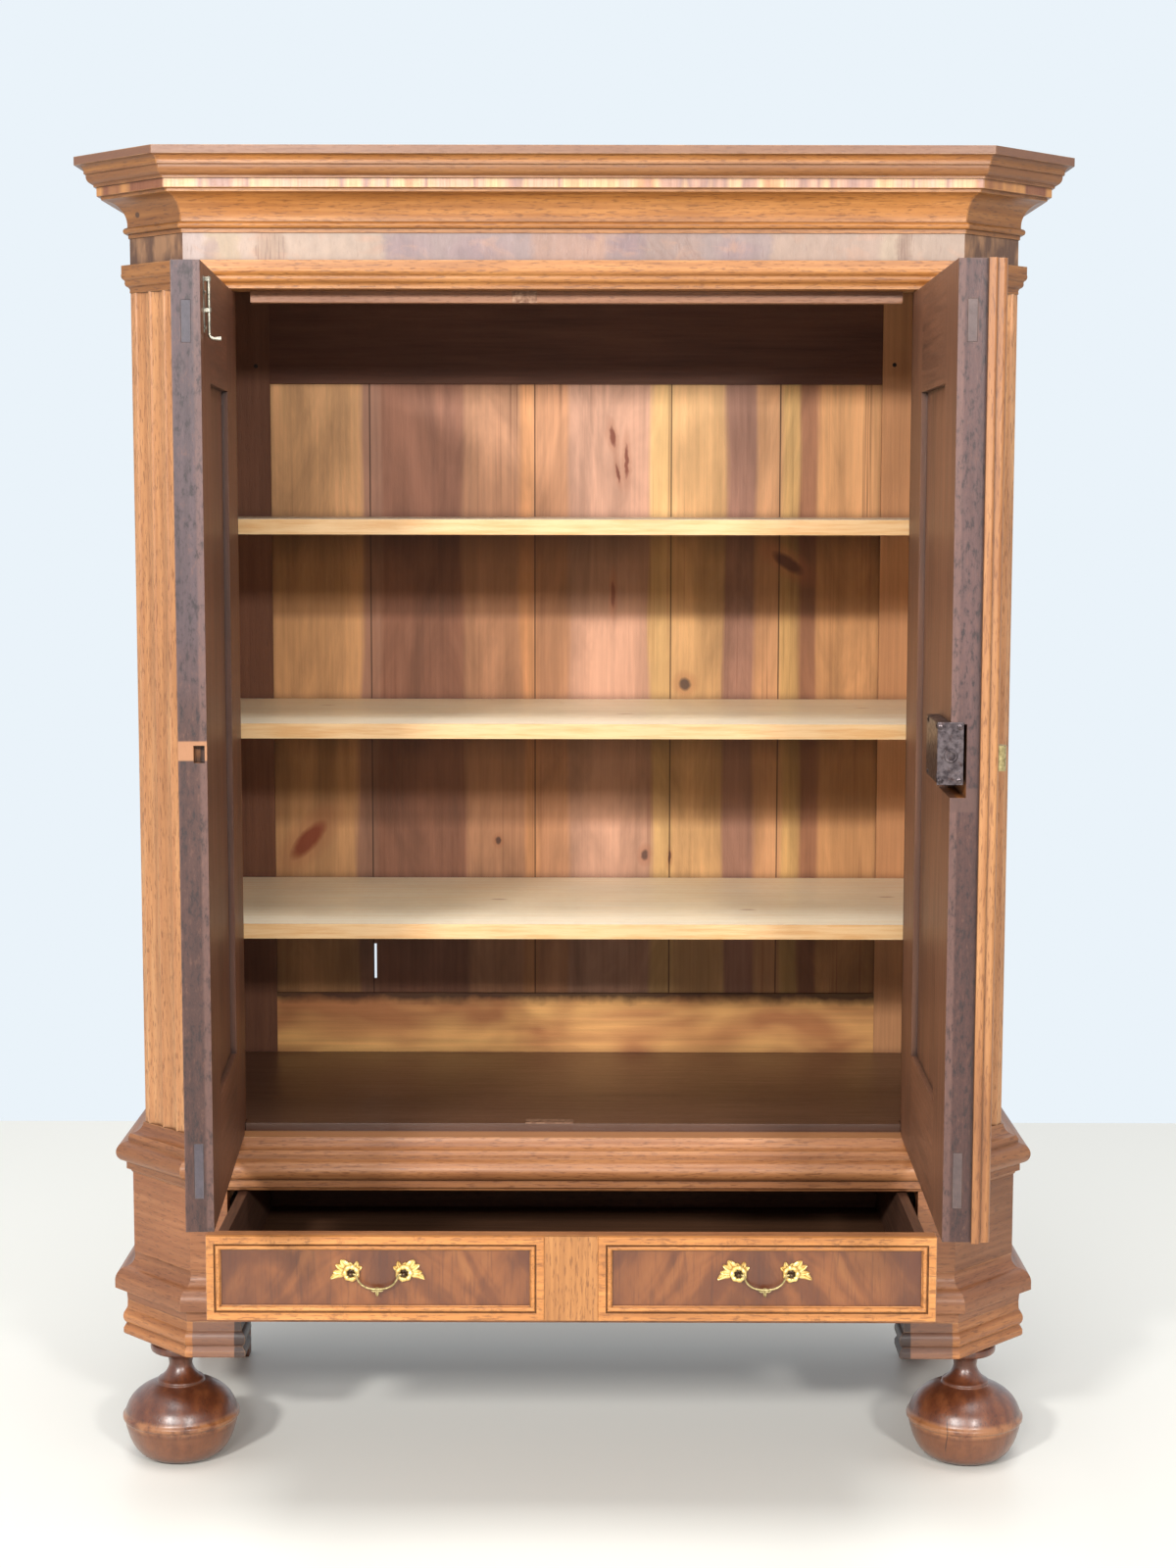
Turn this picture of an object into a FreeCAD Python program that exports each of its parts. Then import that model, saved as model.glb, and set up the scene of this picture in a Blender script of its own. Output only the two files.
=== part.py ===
import FreeCAD, Part
import math
import os
import PartDesign
import Sketcher
from FreeCAD import Placement, Rotation, Vector

# Oak cupboard with two doors, three shelves and one drawer, in millimetres.
# X runs to the right, Y to the back and Z up. Y = 0 is the face of the frieze,
# Z = 0 is the floor and X = 0 is the middle.

# Driving sizes, each one a cell of the spreadsheet.
SIZES = {
    # Whole body
    "half_front": 560,
    "corner_cut": 92,
    "body_depth": 558,
    "total_height": 1950,
    # The base stands a little out from the body
    "base_stand_out": 16,
    "base_front_growth": 10,
    "base_cut_growth": 9.5,
    # Heights of the tiers, from the floor up to the doors and from the top down to them
    "foot_height": 184.5,
    "bracket_height": 53.5,
    "base_height": 74.5,
    "plinth_height": 123.5,
    "waist_height": 77,
    "cornice_height": 114,
    "frieze_height": 39,
    "architrave_height": 39.5,
    # Mouldings
    "cornice_reach": 74,
    "cornice_wall": 30,
    "frieze_wall": 22,
    "capital_reach": 12.5,
    "waist_reach": 26.5,
    "base_reach": 28.5,
    "bracket_reach": 17.5,
    "bracket_wall": 24,
    "bracket_return_width": 65,
    "bracket_turn": 50,
    "sill_depth": 38,
    "plinth_wall": 30,
    "miter_length": 120,
    # Corner posts, pilasters and door opening
    "post_face_width": 29,
    "lip_width": 37,
    "rebate_depth": 37,
    "lip_depth": 59,
    "post_wall": 41,
    "post_back": 160,
    "pilaster_wall": 18,
    # Sides and back
    "side_wall": 26,
    "side_stile_width": 90,
    "side_bottom_rail_height": 127,
    "side_middle_rail_height": 90,
    "side_top_rail_height": 107,
    "side_panel_wall": 12,
    "side_panel_depth": 6,
    "side_panel_bevel_width": 34,
    "back_wall": 22,
    "rear_post_width": 121,
    "back_top_rail_height": 151.5,
    "back_bottom_rail_height": 113,
    "back_board_wall": 12,
    "back_board_setback": 5,
    "board_gap": 0.6,
    "slit_width": 2.4,
    "slit_rise_height": 23,
    "slit_height": 61,
    # Floor, shelves and top
    "floor_rise_height": 11.7,
    "floor_wall": 22,
    "floor_joint_depth": 215,
    "bearer_width": 20,
    "bearer_height": 25,
    "shelf_wall": 22.4,
    "shelf_front_depth": 60,
    "shelf_gap": 1.6,
    "cleat_width": 15,
    "cleat_height": 22,
    "top_wall": 20,
    "cornice_back_height": 64,
    "cornice_back_wall": 20,
    # Door stop and strikes
    "batten_left_gap": 25,
    "batten_right_gap": 17,
    "batten_depth": 22,
    "batten_height": 17,
    "strike_wall": 1.5,
    "strike_width": 36,
    # Doors
    "pin_gap": 1.7,
    "pin_forward_depth": 5,
    "leaf_wall": 36.4,
    "leaf_low_gap": 5,
    "leaf_top_gap": 5.5,
    "meeting_offset": 18,
    "meeting_gap": 1.3,
    "left_stile_width": 125,
    "right_stile_width": 130,
    "leaf_top_rail_height": 146,
    "leaf_bottom_rail_height": 150,
    "tenon_wall": 12,
    "upper_tenon_drop": 101,
    "upper_tenon_height": 52,
    "lower_tenon_rise": 44,
    "lower_tenon_height": 72,
    "stub_tenon_length": 60,
    "panel_tongue_wall": 8,
    "panel_groove_depth": 10,
    "panel_front_depth": 5,
    "panel_back_depth": 8,
    "panel_bevel_width": 46,
    "left_open_angle": 86.65,
    "right_open_angle": 88.67,
    # Hinges
    "hinge_height": 71.2,
    "hinge_drop": 135,
    "hinge_plate_wall": 2,
    "hinge_width": 30,
    "knuckle_radius": 4.8,
    "pin_radius": 2.5,
    "pin_clearance": 0.06,
    "knuckle_gap": 0.3,
    # Closing strip, lock and key plate
    "strip_width": 50,
    "strip_overlap": 8,
    "strip_base_height": 11,
    "strip_height": 24,
    "strip_step_width": 6,
    "lock_width": 118,
    "lock_height": 92,
    "lock_drop": 47,
    "lock_stand_out": 13,
    "lock_sunk_depth": 20,
    "lock_plate_wall": 1.2,
    "lock_bolt_height": 20,
    "lock_bolt_wall": 12,
    "lock_bolt_length": 70,
    "lock_bolt_rise": 49,
    "lock_travel_length": 14,
    "key_width": 5,
    "key_height": 16,
    "escutcheon_half_width": 11,
    "escutcheon_height": 32,
    "escutcheon_depth": 11,
    # Barrel bolt on the left door
    "bolt_edge_offset": 52,
    "bolt_plate_drop": 16,
    "bolt_plate_height": 81,
    "bolt_plate_width": 26,
    "bolt_plate_wall": 2,
    "bolt_radius": 4,
    "bolt_offset": 9,
    "bolt_guide_wall": 2.4,
    "bolt_guide_height": 10,
    "bolt_neck_radius": 3.2,
    "bolt_neck_length": 12,
    # Drawer
    "drawer_out_length": 235,
    "drawer_post_width": 56.5,
    "drawer_side_gap": 2.8,
    "drawer_gap": 1.5,
    "drawer_front_wall": 20,
    "frame_height": 9,
    "frame_width": 20.5,
    "centre_half_width": 37.5,
    "centre_height": 7,
    "field_wall": 1.5,
    "drawer_side_inset": 16.5,
    "drawer_side_wall": 14,
    "drawer_rear_gap": 53,
    "drawer_back_wall": 14,
    "drawer_bottom_wall": 8,
    "drawer_bottom_height": 9,
    "drawer_groove_depth": 6,
    "drawer_back_drop": 10,
    "runner_width": 82,
    "runner_wall": 24,
    "guide_height": 34,
    "guide_gap": 2,
    # Pulls
    "pull_rise_height": 6.75,
    "pull_width": 74,
    "rosette_wall": 3,
    "rosette_radius": 13,
    "rosette_leaf_length": 30,
    "post_radius": 4.5,
    "post_length": 13,
    "pivot_radius": 2,
    "pivot_length": 9,
    "pivot_offset": 9,
    "bail_radius": 2.2,
    "bail_drop": 27,
    "bail_leaf_half_width": 9,
    "bail_leaf_half_height": 6.5,
    "bail_leaf_wall": 5,
    # Feet
    "foot_side_inset": 71.5,
    "foot_front_inset": 64,
    "foot_ball_radius": 84,
    "rear_foot_width": 90,
    "rear_foot_taper_width": 10,
    "rear_foot_inset": 20,
    "block_width": 128,
    "block_inset": 80,
    "socket_depth": 30,
    "stem_radius": 9,
    # Clearances and the overrun of every cutting tool
    "fit_gap": 0.2,
    "overrun": 4,
}

# Outlines of the mouldings. The first share is of the reach, the second of the height.
# A third number makes the edge that follows an arc, its radius as a share of its chord,
# and a fourth says on which side the centre lies.
cornice_shares = (
    (0, 0), (0.027, 0), (0.027, 0.053), (0.074, 0.053, 0.51, -1), (0.074, 0.132), (0.041, 0.14, 0.726, 1),
    (0.459, 0.474), (0.514, 0.474), (0.514, 0.509), (0.595, 0.518), (0.595, 0.632), (0.649, 0.632),
    (0.649, 0.658), (0.676, 0.667, 0.72, -1), (0.784, 0.781), (0.824, 0.789), (0.824, 0.833, 0.75, 1),
    (1, 0.895), (1, 1),
)
capital_shares = (
    (0.1, 0), (0.1, 0.05, 0.8, 1), (0.32, 0.215, 0.72, -1), (0.64, 0.392), (0.64, 0.43),
    (0.72, 0.468, 0.72, -1), (1, 0.696), (1, 1),
)
waist_shares = (
    (0, 0), (0.075, 0.026, 0.75, 1), (0.34, 0.091), (0.34, 0.234), (0.453, 0.247, 0.51, -1),
    (0.453, 0.623), (0.226, 0.649), (0.226, 0.727), (0.113, 0.792, 0.75, 1), (-0.604, 0.987), (-0.604, 1),
)
base_shares = (
    (0.386, 0), (0.421, 0.156, 0.75, 1), (1, 0.273), (1, 0.442, 0.75, -1), (0.351, 0.7, 0.75, 1), (0, 1),
)
bracket_shares = (
    (0.886, 0), (1, 0.047), (1, 0.178), (0.714, 0.308, 0.62, -1), (0.657, 0.738), (0.629, 1),
)
# Across the drawer frame: share of its width, share of its rise.
frame_shares = (
    (0, 0.8), (0.04, 1), (0.53, 1), (0.56, 0.5), (0.62, 0.5), (0.65, 0.82), (0.72, 0.95), (0.84, 0.95),
    (0.92, 0.8), (0.95, 0.4), (1, 0.35), (1, 0),
)
# Half outline of a turned foot: share of the ball's radius, share of the height under the bracket.
foot_shares = (
    (0.38, 0), (0.83, 0.1), (0.985, 0.3), (1.05, 0.335), (1.05, 0.37), (0.93, 0.49), (0.42, 0.635),
    (0.21, 0.78), (0.535, 0.895), (0.535, 0.965), (0.3, 1),
)
# Across and down a quarter turn of the bail's wire, and round its section.
bend_shares = ((0, 1), (0.134, 0.5), (0.5, 0.134), (1, 0))
round_shares = (
    (0.924, 0.383), (0.383, 0.924), (-0.383, 0.924), (-0.924, 0.383),
    (-0.924, -0.383), (-0.383, -0.924), (0.383, -0.924), (0.924, -0.383),
)
# The leaf cast on the bail, and the outline of a rosette with its leaves.
bail_leaf_shares = (
    (-1, 0.25), (-0.45, 0.3), (0, 0.75), (0.45, 0.3), (1, 0.25), (0.5, -0.4), (0, -1), (-0.5, -0.4),
)
rosette_shares = (
    (0.97, -0.45), (0.73, -0.1), (0.87, 0.35), (0.63, 0.4), (0.68, 1), (0.43, 0.8), (0.4, 1.4), (0.17, 1.05),
    (-0.27, 1.25), (-0.3, 0.85), (-0.5, 0.8), (-0.43, 0.1), (-0.3, -0.75), (0, -1.05), (0.3, -0.8),
)
bail_bend_share = 0.65
bolt_neck_share = 0.18
# How round the beads and hollows are: radius of the arc as a share of its chord.
reed_arc_share = 0.55
flute_arc_share = 1.1
strip_arc_share = 0.72
dome_arc_share = 0.62
strip_round_share = 0.6
strip_shoulder_share = 0.7
flute_edge_shares = (0.07, 0.115, 0.345, 0.39, 0.61, 0.655, 0.885, 0.93)
back_joint_shares = (-0.675, -0.135, 0.313, 0.669)
# Tops of the shelves between floor and door head, middle rail of the sides, pulls along their panel.
shelf_shares = (("upper", 0.7325), ("middle", 0.4874), ("lower", 0.2429))
side_rail_share = 0.4572
pull_share = 0.4934
miter_share = math.tan(math.radians(22.5))
root_two = math.sqrt(2)
quarter_share = 1 / root_two

doc = FreeCAD.newDocument("Cupboard")
sheet = doc.addObject("Spreadsheet::Sheet", "Sizes")


class Size:
    # A length or an angle together with the spreadsheet formula that gives it.
    def __init__(self, value, text):
        self.value = value
        self.text = text

    def __add__(self, other):
        return Size(self.value + number(other), f"({self.text} + {formula(other)})")

    def __radd__(self, other):
        return Size(number(other) + self.value, f"({formula(other)} + {self.text})")

    def __sub__(self, other):
        return Size(self.value - number(other), f"({self.text} - {formula(other)})")

    def __rsub__(self, other):
        return Size(number(other) - self.value, f"({formula(other)} - {self.text})")

    def __mul__(self, other):
        return Size(self.value * number(other), f"({self.text} * {formula(other)})")

    def __rmul__(self, other):
        return Size(number(other) * self.value, f"({formula(other)} * {self.text})")

    def __truediv__(self, other):
        return Size(self.value / number(other), f"({self.text} / {formula(other)})")

    def __neg__(self):
        return Size(-self.value, f"(-{self.text})")


def number(size):
    return size.value if isinstance(size, Size) else float(size)


def formula(size):
    return size.text if isinstance(size, Size) else repr(size)


def distance(across, along):
    value = math.hypot(number(across), number(along))
    return Size(value, f"hypot({formula(across)}; {formula(along)})")


def cosine(angle):
    return Size(math.cos(math.radians(angle.value)), f"cos({angle.text})")


def sine(angle):
    return Size(math.sin(math.radians(angle.value)), f"sin({angle.text})")


class Named:
    # The sizes by name, each one a Size.
    pass


s = Named()
for row, (alias, value) in enumerate(SIZES.items(), start=1):
    sheet.set(f"A{row}", alias)
    sheet.set(f"B{row}", str(value))
    sheet.setAlias(f"B{row}", alias)
    setattr(s, alias, Size(value, f"Sizes.{alias}"))
doc.recompute()

# Levels and widths that follow from the sizes above.
s.half_base_front = s.half_front + s.base_front_growth
s.base_corner_cut = s.corner_cut + s.base_cut_growth
s.bracket_low = s.foot_height
s.bracket_top = s.bracket_low + s.bracket_height
s.plinth_low = s.bracket_top + s.base_height
s.plinth_top = s.plinth_low + s.plinth_height
s.waist_top = s.plinth_top + s.waist_height
s.floor_top = s.waist_top + s.floor_rise_height
s.frieze_top = s.total_height - s.cornice_height
s.frieze_low = s.frieze_top - s.frieze_height
s.door_head = s.frieze_low - s.architrave_height
s.back_rail_top = s.frieze_low - s.back_top_rail_height
s.back_rail_low = s.waist_top + s.back_bottom_rail_height
s.side_middle_level = s.waist_top + (s.frieze_low - s.waist_top) * side_rail_share
s.half_opening = s.half_front - s.post_face_width
s.half_lip = s.half_opening - s.lip_width
s.pin_across = s.half_opening - s.pin_gap
s.left_leaf = s.pin_across - s.meeting_offset - s.meeting_gap
s.right_leaf = s.pin_across + s.meeting_offset - s.meeting_gap
s.leaf_low = s.waist_top + s.leaf_low_gap
s.leaf_top = s.door_head - s.leaf_top_gap
s.upper_tenon_low = s.leaf_top - s.upper_tenon_drop
s.lower_tenon_low = s.leaf_low + s.lower_tenon_rise
s.lock_low = (s.leaf_low + s.leaf_top) / 2 - s.lock_drop
s.lock_bolt_level = s.lock_low + s.lock_bolt_rise
s.bolt_plate_low = s.leaf_top - s.bolt_plate_drop - s.bolt_plate_height
s.half_drawer_opening = s.half_base_front - s.drawer_post_width
s.drawer_side_outer = s.half_drawer_opening - s.drawer_side_inset
s.drawer_length = s.body_depth - s.drawer_rear_gap
s.pull_level = (s.plinth_low + s.plinth_top) / 2 + s.pull_rise_height

# Places that several pieces share.
outer = s.half_front + s.corner_cut
base_outer = s.half_base_front + s.base_corner_cut
base_front = -s.base_stand_out
base_corner_back = s.base_corner_cut - s.base_stand_out
bracket_end = s.half_base_front - s.bracket_return_width
foot_across = base_outer - s.foot_side_inset
pilaster_drop = s.pilaster_wall * root_two
post_diagonal = s.half_front - pilaster_drop - s.post_wall * root_two
side_inner = outer - s.side_wall
back_opening_half = side_inner - s.rear_post_width
back_front = s.body_depth - s.back_wall
base_inner = base_outer - s.sill_depth - s.base_stand_out
ring_wall = s.sill_depth + s.base_stand_out
ring_turn = ring_wall * miter_share
ring_front_half = s.half_base_front - ring_turn - s.fit_gap
front_half = s.half_drawer_opening - s.drawer_side_gap
pull_across = s.centre_half_width + (front_half - s.centre_half_width) * pull_share

finished = []


def bind(obj, prop, size):
    if isinstance(size, Size):
        obj.setExpression(prop, size.text)
    elif "." not in prop:
        setattr(obj, prop, size)


def keep(obj, label):
    # A finished sub-part takes the name of its file.
    obj.Label = label
    finished.append(obj)
    return obj


def put(obj, x=0, y=0, z=0):
    obj.Placement = Placement(Vector(number(x), number(y), number(z)), obj.Placement.Rotation)
    bind(obj, "Placement.Base.x", x)
    bind(obj, "Placement.Base.y", y)
    bind(obj, "Placement.Base.z", z)
    return obj


def block(name, across, along, up):
    # A squared piece between two limits on each axis.
    box = doc.addObject("Part::Box", name)
    for prop, (low, high) in (("Length", across), ("Width", along), ("Height", up)):
        bind(box, prop, high - low)
    return put(box, across[0], along[0], up[0])


def rod(name, radius, length, at, axis):
    # A round piece from a point along +X, +Y or +Z.
    turn = {"X": Rotation(Vector(0, 1, 0), 90), "Y": Rotation(Vector(1, 0, 0), -90), "Z": Rotation()}
    cylinder = doc.addObject("Part::Cylinder", name)
    cylinder.Placement = Placement(Vector(), turn[axis])
    bind(cylinder, "Radius", radius)
    bind(cylinder, "Height", length)
    return put(cylinder, *at)


def cut(name, base, *tools):
    result = doc.addObject("Part::Cut", name)
    result.Base = base
    result.Tool = tools[0] if len(tools) == 1 else fuse(f"{name}_tools", *tools)
    return result


def fuse(name, *pieces):
    result = doc.addObject("Part::MultiFuse", name)
    result.Shapes = list(pieces)
    return result


def common(name, first, second):
    result = doc.addObject("Part::Common", name)
    result.Base = first
    result.Tool = second
    return result


def group(name, *pieces):
    # Separate solids that share a node.
    result = doc.addObject("Part::Compound", name)
    result.Links = list(pieces)
    return result


def mirrored(name, source):
    result = doc.addObject("Part::Mirroring", name)
    result.Source = source
    result.Normal = Vector(1, 0, 0)
    return result


def draw(sketch, points, closed=True):
    # Lines and arcs through the points, every point and radius bound to its formula.
    count = len(points) if closed else len(points) - 1
    ends = []
    for index in range(count):
        here, there = points[index], points[(index + 1) % len(points)]
        start = Vector(number(here[0]), number(here[1]), 0)
        end = Vector(number(there[0]), number(there[1]), 0)
        if len(here) == 2:
            ends.append((sketch.addGeometry(Part.LineSegment(start, end), False), 1, 2))
            continue
        share, side = here[2], here[3]
        chord = end - start
        radius = chord.Length * share
        rise = math.sqrt(radius * radius - chord.Length * chord.Length / 4)
        centre = (start + end) / 2 + Vector(-chord.y, chord.x, 0).normalize() * rise * side
        first, last = (start, end) if side > 0 else (end, start)
        begin = math.atan2(first.y - centre.y, first.x - centre.x)
        finish = math.atan2(last.y - centre.y, last.x - centre.x)
        finish += 2 * math.pi if finish < begin else 0
        circle = Part.Circle(centre, Vector(0, 0, 1), radius)
        edge = sketch.addGeometry(Part.ArcOfCircle(circle, begin, finish), False)
        ends.append((edge, 1, 2) if side > 0 else (edge, 2, 1))
        place = sketch.addConstraint(Sketcher.Constraint("Radius", edge, radius))
        span = distance(there[0] - here[0], there[1] - here[1]) * share
        sketch.setExpression(f"Constraints[{place}]", span.text)
    for index in range(count if closed else count - 1):
        edge, _, finish = ends[index]
        follower, begin, _ = ends[(index + 1) % count]
        sketch.addConstraint(Sketcher.Constraint("Coincident", edge, finish, follower, begin))
    for index, point in enumerate(points):
        edge, begin, finish = ends[min(index, count - 1)]
        corner = begin if index < count else finish
        for kind, size in (("DistanceX", point[0]), ("DistanceY", point[1])):
            place = sketch.addConstraint(Sketcher.Constraint(kind, -1, 1, edge, corner, number(size)))
            if isinstance(size, Size):
                sketch.setExpression(f"Constraints[{place}]", size.text)
    return sketch


def body_sketch(body, name, plane, points):
    sketch = body.newObject("Sketcher::SketchObject", name)
    role = {"XY": "XY_Plane", "XZ": "XZ_Plane", "YZ": "YZ_Plane"}[plane]
    origin_plane = [item for item in body.Origin.OriginFeatures if item.Role == role][0]
    sketch.AttachmentSupport = [(origin_plane, "")]
    sketch.MapMode = "FlatFace"
    doc.recompute()
    return draw(sketch, points)


def padded(name, plane, points, length):
    # A piece with one outline all along its length, grown towards +Z, +Y or +X.
    body = doc.addObject("PartDesign::Body", name)
    sketch = body_sketch(body, f"{name}_outline", plane, points)
    pad = body.newObject("PartDesign::Pad", f"{name}_pad")
    pad.Profile = sketch
    pad.Reversed = plane == "XZ"
    bind(pad, "Length", length)
    return body


def turned(name, points):
    # A piece turned about the Z axis from its half outline.
    body = doc.addObject("PartDesign::Body", name)
    sketch = body_sketch(body, f"{name}_outline", "XZ", points)
    spin = body.newObject("PartDesign::Revolution", f"{name}_turning")
    spin.Profile = sketch
    spin.ReferenceAxis = (sketch, ["V_Axis"])
    spin.Angle = 360
    return body


def swept(name, profile_points, profile_turn, profile_at, path_points, path_turn, path_at, closed=False):
    # A moulding: one outline carried along a path with mitred corners.
    path = doc.addObject("Sketcher::SketchObject", f"{name}_path")
    path.Placement = Placement(Vector(), path_turn)
    draw(path, path_points, closed)
    put(path, *path_at)
    profile = doc.addObject("Sketcher::SketchObject", f"{name}_profile")
    profile.Placement = Placement(Vector(), profile_turn)
    draw(profile, profile_points)
    put(profile, *profile_at)
    runs = len(path_points) if closed else len(path_points) - 1
    sweep = doc.addObject("Part::Sweep", name)
    sweep.Sections = [profile]
    sweep.Spine = (path, [f"Edge{run}" for run in range(1, runs + 1)])
    sweep.Solid = True
    sweep.Transition = "Right corner"
    return sweep


upright = Rotation(Vector(1, 0, 0), 90)
flat = Rotation()


def profile_from_shares(shares, face, reach, low, high, wall):
    # The moulding's section on the left side, from its inner wall outwards.
    points = [(-(face - wall), low)]
    for across, up, *arc in shares:
        points.append((-(face + reach * across), low + (high - low) * up, *arc))
    points.append((-(face - wall), high))
    return points


def body_ring(name, shares, reach, low, high, wall):
    # A moulding round both sides, both corners and the front of the upper body.
    path = [
        (-outer, s.body_depth), (-outer, s.corner_cut), (-s.half_front, 0),
        (s.half_front, 0), (outer, s.corner_cut), (outer, s.body_depth),
    ]
    profile = profile_from_shares(shares, outer, reach, low, high, wall)
    return swept(name, profile, upright, (0, s.body_depth, 0), path, flat, (0, 0, 0))


def base_ring(name, shares, reach, low, high, wall):
    # A moulding round both sides, both corners and the front of the base.
    path = [
        (-base_outer, s.body_depth), (-base_outer, base_corner_back), (-s.half_base_front, base_front),
        (s.half_base_front, base_front), (base_outer, base_corner_back), (base_outer, s.body_depth),
    ]
    profile = profile_from_shares(shares, base_outer, reach, low, high, wall)
    return swept(name, profile, upright, (0, s.body_depth, 0), path, flat, (0, 0, 0))


def both_sides(right_points):
    # Closes a symmetrical outline from its right half.
    left_points = [(-point[0], point[1]) for point in reversed(right_points)]
    return right_points + left_points


def standing(name, points, low, high):
    # An upright piece with a constant plan.
    return put(padded(name, "XY", points, high - low), 0, 0, low)


def make_cornice():
    ring = body_ring("cornice", cornice_shares, s.cornice_reach, s.frieze_top, s.total_height, s.cornice_wall)
    keep(ring, "cornice")
    inside = outer - s.cornice_wall
    back = block(
        "cornice_back_rail", (-inside, inside), (s.body_depth - s.cornice_back_wall, s.body_depth),
        (s.frieze_top, s.frieze_top + s.cornice_back_height))
    keep(back, "cornice_back_rail")


def make_frieze():
    flat_shares = ((0, 0), (0, 1))
    keep(body_ring("frieze", flat_shares, s.frieze_wall, s.frieze_low, s.frieze_top, s.frieze_wall), "frieze")


def make_capitals():
    # One moulding, parted by mitres into the architrave and the two capitals.
    shift = s.miter_length * miter_share
    front_plan = both_sides([(s.half_front + shift, -s.miter_length), (s.half_front - shift, s.miter_length)])
    left_plan = [
        (-(s.half_front + shift), -s.miter_length), (-(s.half_front - shift), s.miter_length),
        (-(s.half_front - shift), s.body_depth + s.miter_length),
        (-(outer + s.miter_length), s.body_depth + s.miter_length),
        (-(outer + s.miter_length), -s.miter_length),
    ]
    whole = body_ring("capital_run", capital_shares, s.capital_reach, s.door_head, s.frieze_low, 0)
    front_tool = standing("architrave_mitres", front_plan, s.door_head, s.frieze_low)
    left_tool = standing("capital_mitre", left_plan, s.door_head, s.frieze_low)
    keep(common("architrave", whole, front_tool), "architrave")
    left = common("capital_left", whole, left_tool)
    keep(group("capitals", left, mirrored("capital_right", left)), "capitals")


def make_pilasters():
    # A reeded board across each cut corner, drawn in its own plan with U along its width.
    width = s.corner_cut * root_two
    edges = [width * share for share in flute_edge_shares]
    points = [(0, 0)]
    for index, edge in enumerate(edges):
        is_bead = index % 2 == 0
        points.append((edge, 0, reed_arc_share, 1) if is_bead else (edge, 0, flute_arc_share, -1))
    points[-1] = (edges[-1], 0)
    points += [(width, 0), (width, s.pilaster_wall), (0, s.pilaster_wall)]
    reeded = padded("pilaster_right_board", "XY", points, s.door_head - s.waist_top)
    plain_plan = [(0, 0), (width, 0), (width, s.pilaster_wall), (0, s.pilaster_wall)]
    plain = padded("pilaster_right_head", "XY", plain_plan, s.frieze_low - s.door_head)
    for piece, low in ((reeded, s.waist_top), (plain, s.door_head)):
        piece.Placement = Placement(Vector(), Rotation(Vector(0, 0, 1), 45))
        put(piece, s.half_front, 0, low)
    board = fuse("pilaster_right_blank", reeded, plain)
    # The ends are cut square to the front and to the side.
    trim = standing(
        "pilaster_trim",
        [(s.half_front, -s.overrun), (outer, -s.overrun), (outer, s.post_back), (s.half_front, s.post_back)],
        s.waist_top, s.frieze_low)
    right = keep(common("pilaster_right", board, trim), "pilaster_right")
    keep(mirrored("pilaster_left", right), "pilaster_left")


def make_corner_posts():
    plan = [
        (s.half_opening, 0), (s.half_front, 0), (s.half_front, pilaster_drop),
        (outer, s.corner_cut + pilaster_drop), (outer, s.post_back), (outer - s.post_wall, s.post_back),
        (outer - s.post_wall, outer - s.post_wall - post_diagonal),
        (post_diagonal + s.lip_depth, s.lip_depth),
        (s.half_lip, s.lip_depth), (s.half_lip, s.rebate_depth), (s.half_opening, s.rebate_depth),
    ]
    post = standing("corner_post_blank", plan, s.waist_top, s.frieze_low)
    recesses = [hinge_recess(f"post_recess_{level}", place) for level, place in hinge_levels()]
    right = keep(cut("corner_post_right", post, *recesses), "corner_post_right")
    keep(mirrored("corner_post_left", right), "corner_post_left")


def hinge_levels():
    # The middle of the lower and of the upper hinge.
    return (("low", s.leaf_low + s.hinge_drop), ("high", s.leaf_top - s.hinge_drop))


def hinge_recess(name, level):
    # The bed of a jamb plate in the right corner post.
    half = s.hinge_height / 2 + s.fit_gap
    return block(
        name, (s.half_opening - s.overrun, s.half_opening + s.hinge_plate_wall),
        (-s.overrun, s.hinge_width - s.pin_forward_depth + s.fit_gap), (level - half, level + half))


def make_front_rail():
    plan = both_sides([
        (s.half_opening, 0), (s.half_opening, s.rebate_depth), (s.half_lip, s.rebate_depth),
        (s.half_lip, s.lip_depth),
    ])
    keep(standing("front_top_rail", plan, s.door_head, s.frieze_low), "front_top_rail")


def bolt_across():
    # Where the barrel bolt stands when the left door is closed.
    return -s.pin_across + s.left_leaf - s.bolt_edge_offset


def make_stop_batten():
    low = s.door_head - s.batten_height
    batten = block(
        "batten_blank", (s.batten_left_gap - s.half_lip, s.half_lip - s.batten_right_gap),
        (s.sill_depth, s.sill_depth + s.batten_depth), (low, s.door_head))
    bolt_line = s.leaf_wall + s.bolt_offset
    notch = block(
        "batten_notch", (bolt_across() - s.bolt_radius * 2, bolt_across() + s.bolt_radius * 2),
        (s.sill_depth - s.overrun, bolt_line + s.bolt_radius * 2), (low - s.overrun, s.door_head + s.overrun))
    bed = block(
        "batten_bed", (bolt_across() - s.strike_width / 2, bolt_across() + s.strike_width / 2),
        (s.sill_depth - s.overrun, s.sill_depth + s.strike_wall), (low - s.overrun, s.door_head + s.overrun))
    keep(cut("stop_batten", batten, notch, bed), "stop_batten")
    upper = block(
        "upper_strike", (bolt_across() - s.strike_width / 2, bolt_across() + s.strike_width / 2),
        (s.sill_depth, s.sill_depth + s.strike_wall), (low, s.door_head))
    lower = block(
        "lower_strike", (bolt_across(), bolt_across() + s.strike_width * 2),
        (s.sill_depth, s.sill_depth + s.batten_depth), (s.floor_top, s.floor_top + s.strike_wall))
    keep(group("strike_plates", upper, lower), "strike_plates")


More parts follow.
